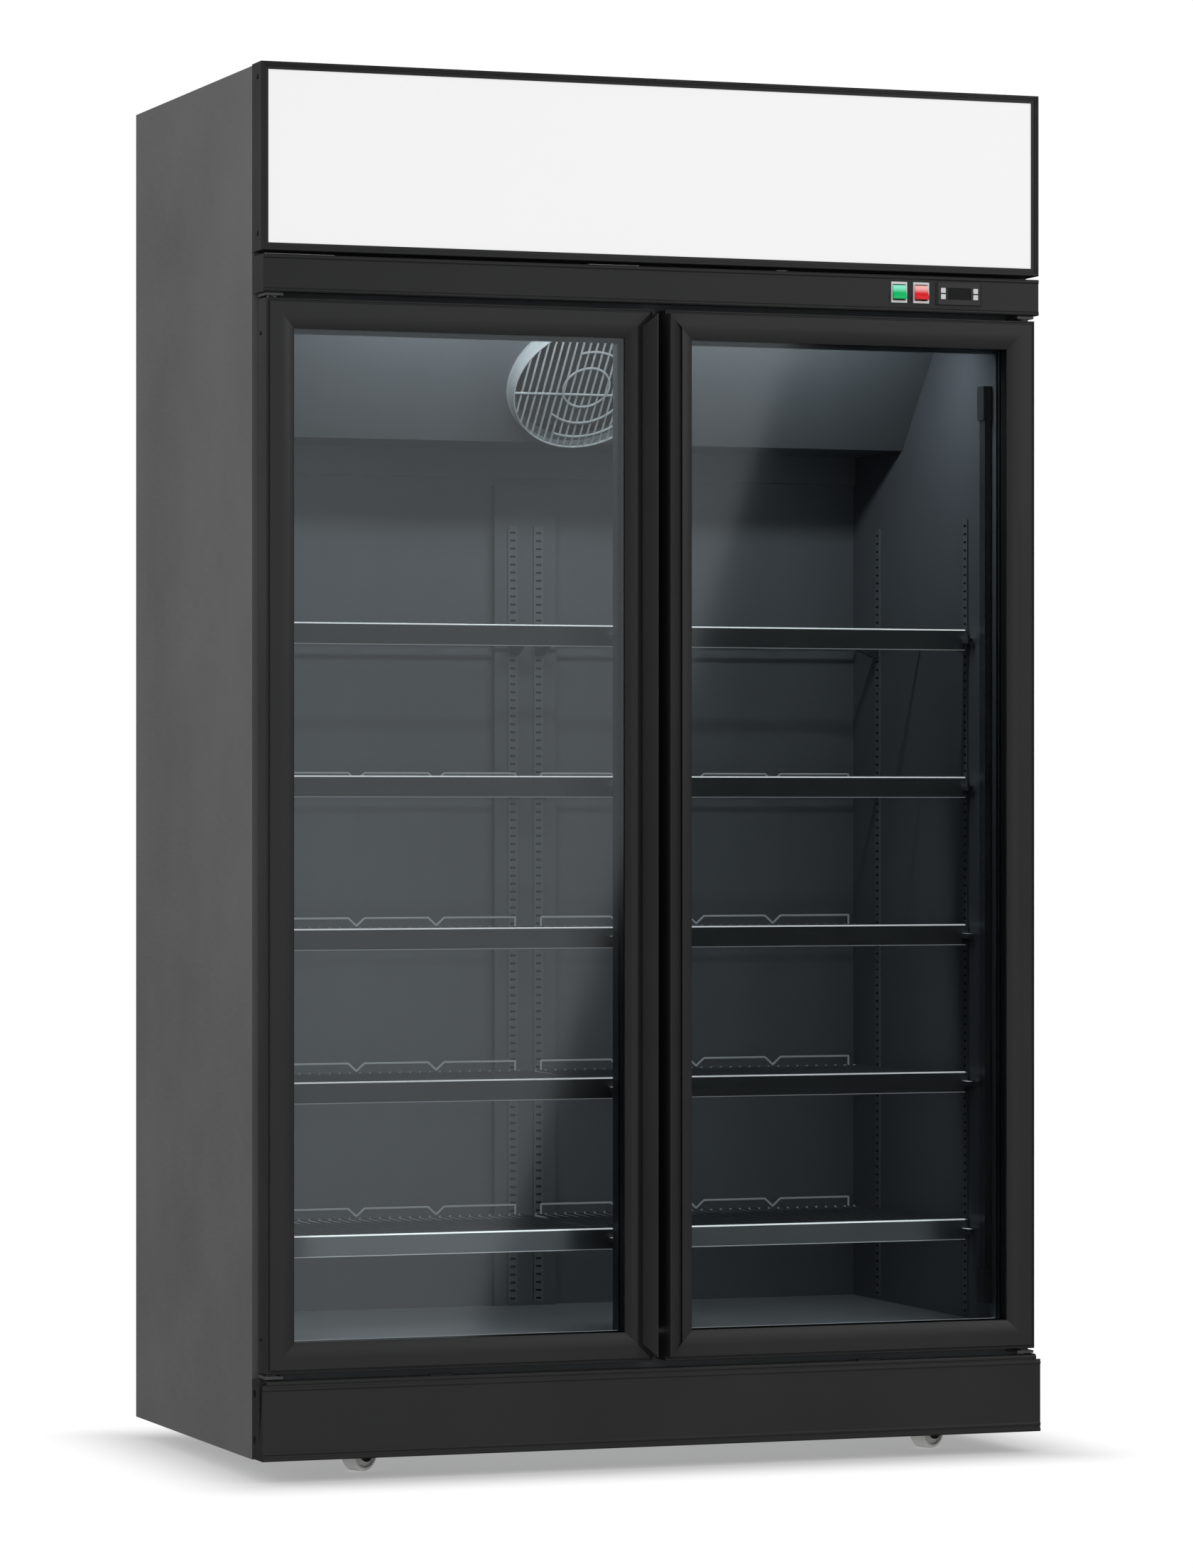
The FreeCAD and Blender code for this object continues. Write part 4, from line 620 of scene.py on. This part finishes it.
def area_light(name, place, target, size, power, colour=WHITE):
    data = bpy.data.lights.new(name, "AREA")
    data.shape = "RECTANGLE"
    data.size, data.size_y = size
    data.energy = power
    data.color = colour
    obj = bpy.data.objects.new(name, data)
    bpy.context.scene.collection.objects.link(obj)
    obj.location = place
    toward = Vector(target) - Vector(place)
    obj.rotation_mode = "QUATERNION"
    obj.rotation_quaternion = toward.to_track_quat("-Z", "Y")
    obj.visible_camera = False
    return obj


def inner_lights():
    """Light under the ceiling just behind the header, and behind the shelves' front rails."""
    header_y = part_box("inner_liner")[0].y
    ceiling_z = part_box("evaporator_cover")[1].z
    ceiling_size, ceiling_power = (0.4, 0.05), 1.6
    shelf_size, shelf_power, left_extra = (0.4, 0.8), 0.72, 0.17
    for side in (-1, 1):
        x = side * 0.27
        place = (x, header_y + 0.06, ceiling_z - 0.012)
        target = (x, header_y + 0.22, ceiling_z - 0.3)
        ceiling = area_light(f"ceiling_light_{side}", place, target, ceiling_size,
                             ceiling_power, COOL_WHITE)
        x = side * 0.29
        place = (x, -0.155, 0.61)
        target = (x, 0.3, 0.55)
        shelves = area_light(f"shelf_light_{side}", place, target, shelf_size,
                             shelf_power - left_extra * side, COOL_WHITE)
        ceiling.visible_glossy = False
        shelves.visible_glossy = False


area_light("softbox_left", (-4.2, 2.4, 2.4), (-0.6, 0.0, 1.2), (2.4, 2.8), 45)
area_light("softbox_right", (3.4, -3.8, 3.2), (0.3, -0.3, 1.3), (1.6, 2.6), 34)
inner_lights()


# ---------------------------------------------------------------- camera and reflection

CAMERA_PLACE = Vector((-2.9343, -8.1426, 0.9526))
CAMERA_TURN = -19.94                 # degrees about +Z
CARD_DISTANCE = 2.7                  # from the doors to the card in front of them
CARD_LEFT, CARD_LOW, CARD_HIGH = -0.9, -0.2, 2.2
CARD_EDGE_LOW, CARD_EDGE_HIGH = -0.415, 0.403


def studio_camera():
    data = bpy.data.cameras.new("camera")
    data.sensor_width = 36.0
    data.lens = 132.52
    data.shift_y = 0.01625
    camera = bpy.data.objects.new("camera", data)
    bpy.context.scene.collection.objects.link(camera)
    camera.location = CAMERA_PLACE
    camera.rotation_euler = (math.radians(90), 0, math.radians(CAMERA_TURN))
    bpy.context.scene.camera = camera


def reflection_card():
    """Bright card in front of the doors that only mirrors see; its slanted edge crosses them."""
    material, tree, output = new_material("card_glow")
    glow = node(tree, "ShaderNodeEmission")
    glow.inputs["Color"].default_value = (0.93, 0.98, 1.0, 1)
    glow.inputs["Strength"].default_value = 0.44
    link(tree, glow.outputs["Emission"], output.inputs["Surface"])
    glass_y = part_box("left_glass")[0].y
    eye = CAMERA_PLACE.copy()
    eye.y = 2 * glass_y - eye.y
    card_y = glass_y - CARD_DISTANCE
    share = (card_y - eye.y) / (glass_y - eye.y)

    def beyond(x, z):
        """Where the mirrored line of sight through a point on the glass meets the card."""
        return (eye.x + (x - eye.x) * share, card_y, eye.z + (z - eye.z) * share)

    corners = [beyond(CARD_LEFT, CARD_LOW), beyond(CARD_EDGE_LOW, CARD_LOW),
               beyond(CARD_EDGE_HIGH, CARD_HIGH), beyond(CARD_LEFT, CARD_HIGH)]
    card = stage_plane("reflection_card", corners, material)
    card.visible_camera = False
    card.visible_diffuse = False
    card.visible_transmission = False
    card.visible_shadow = False
    card.visible_volume_scatter = False


studio_camera()
reflection_card()

bpy.context.scene.view_settings.view_transform = "Standard"
bpy.context.scene.view_settings.look = "None"
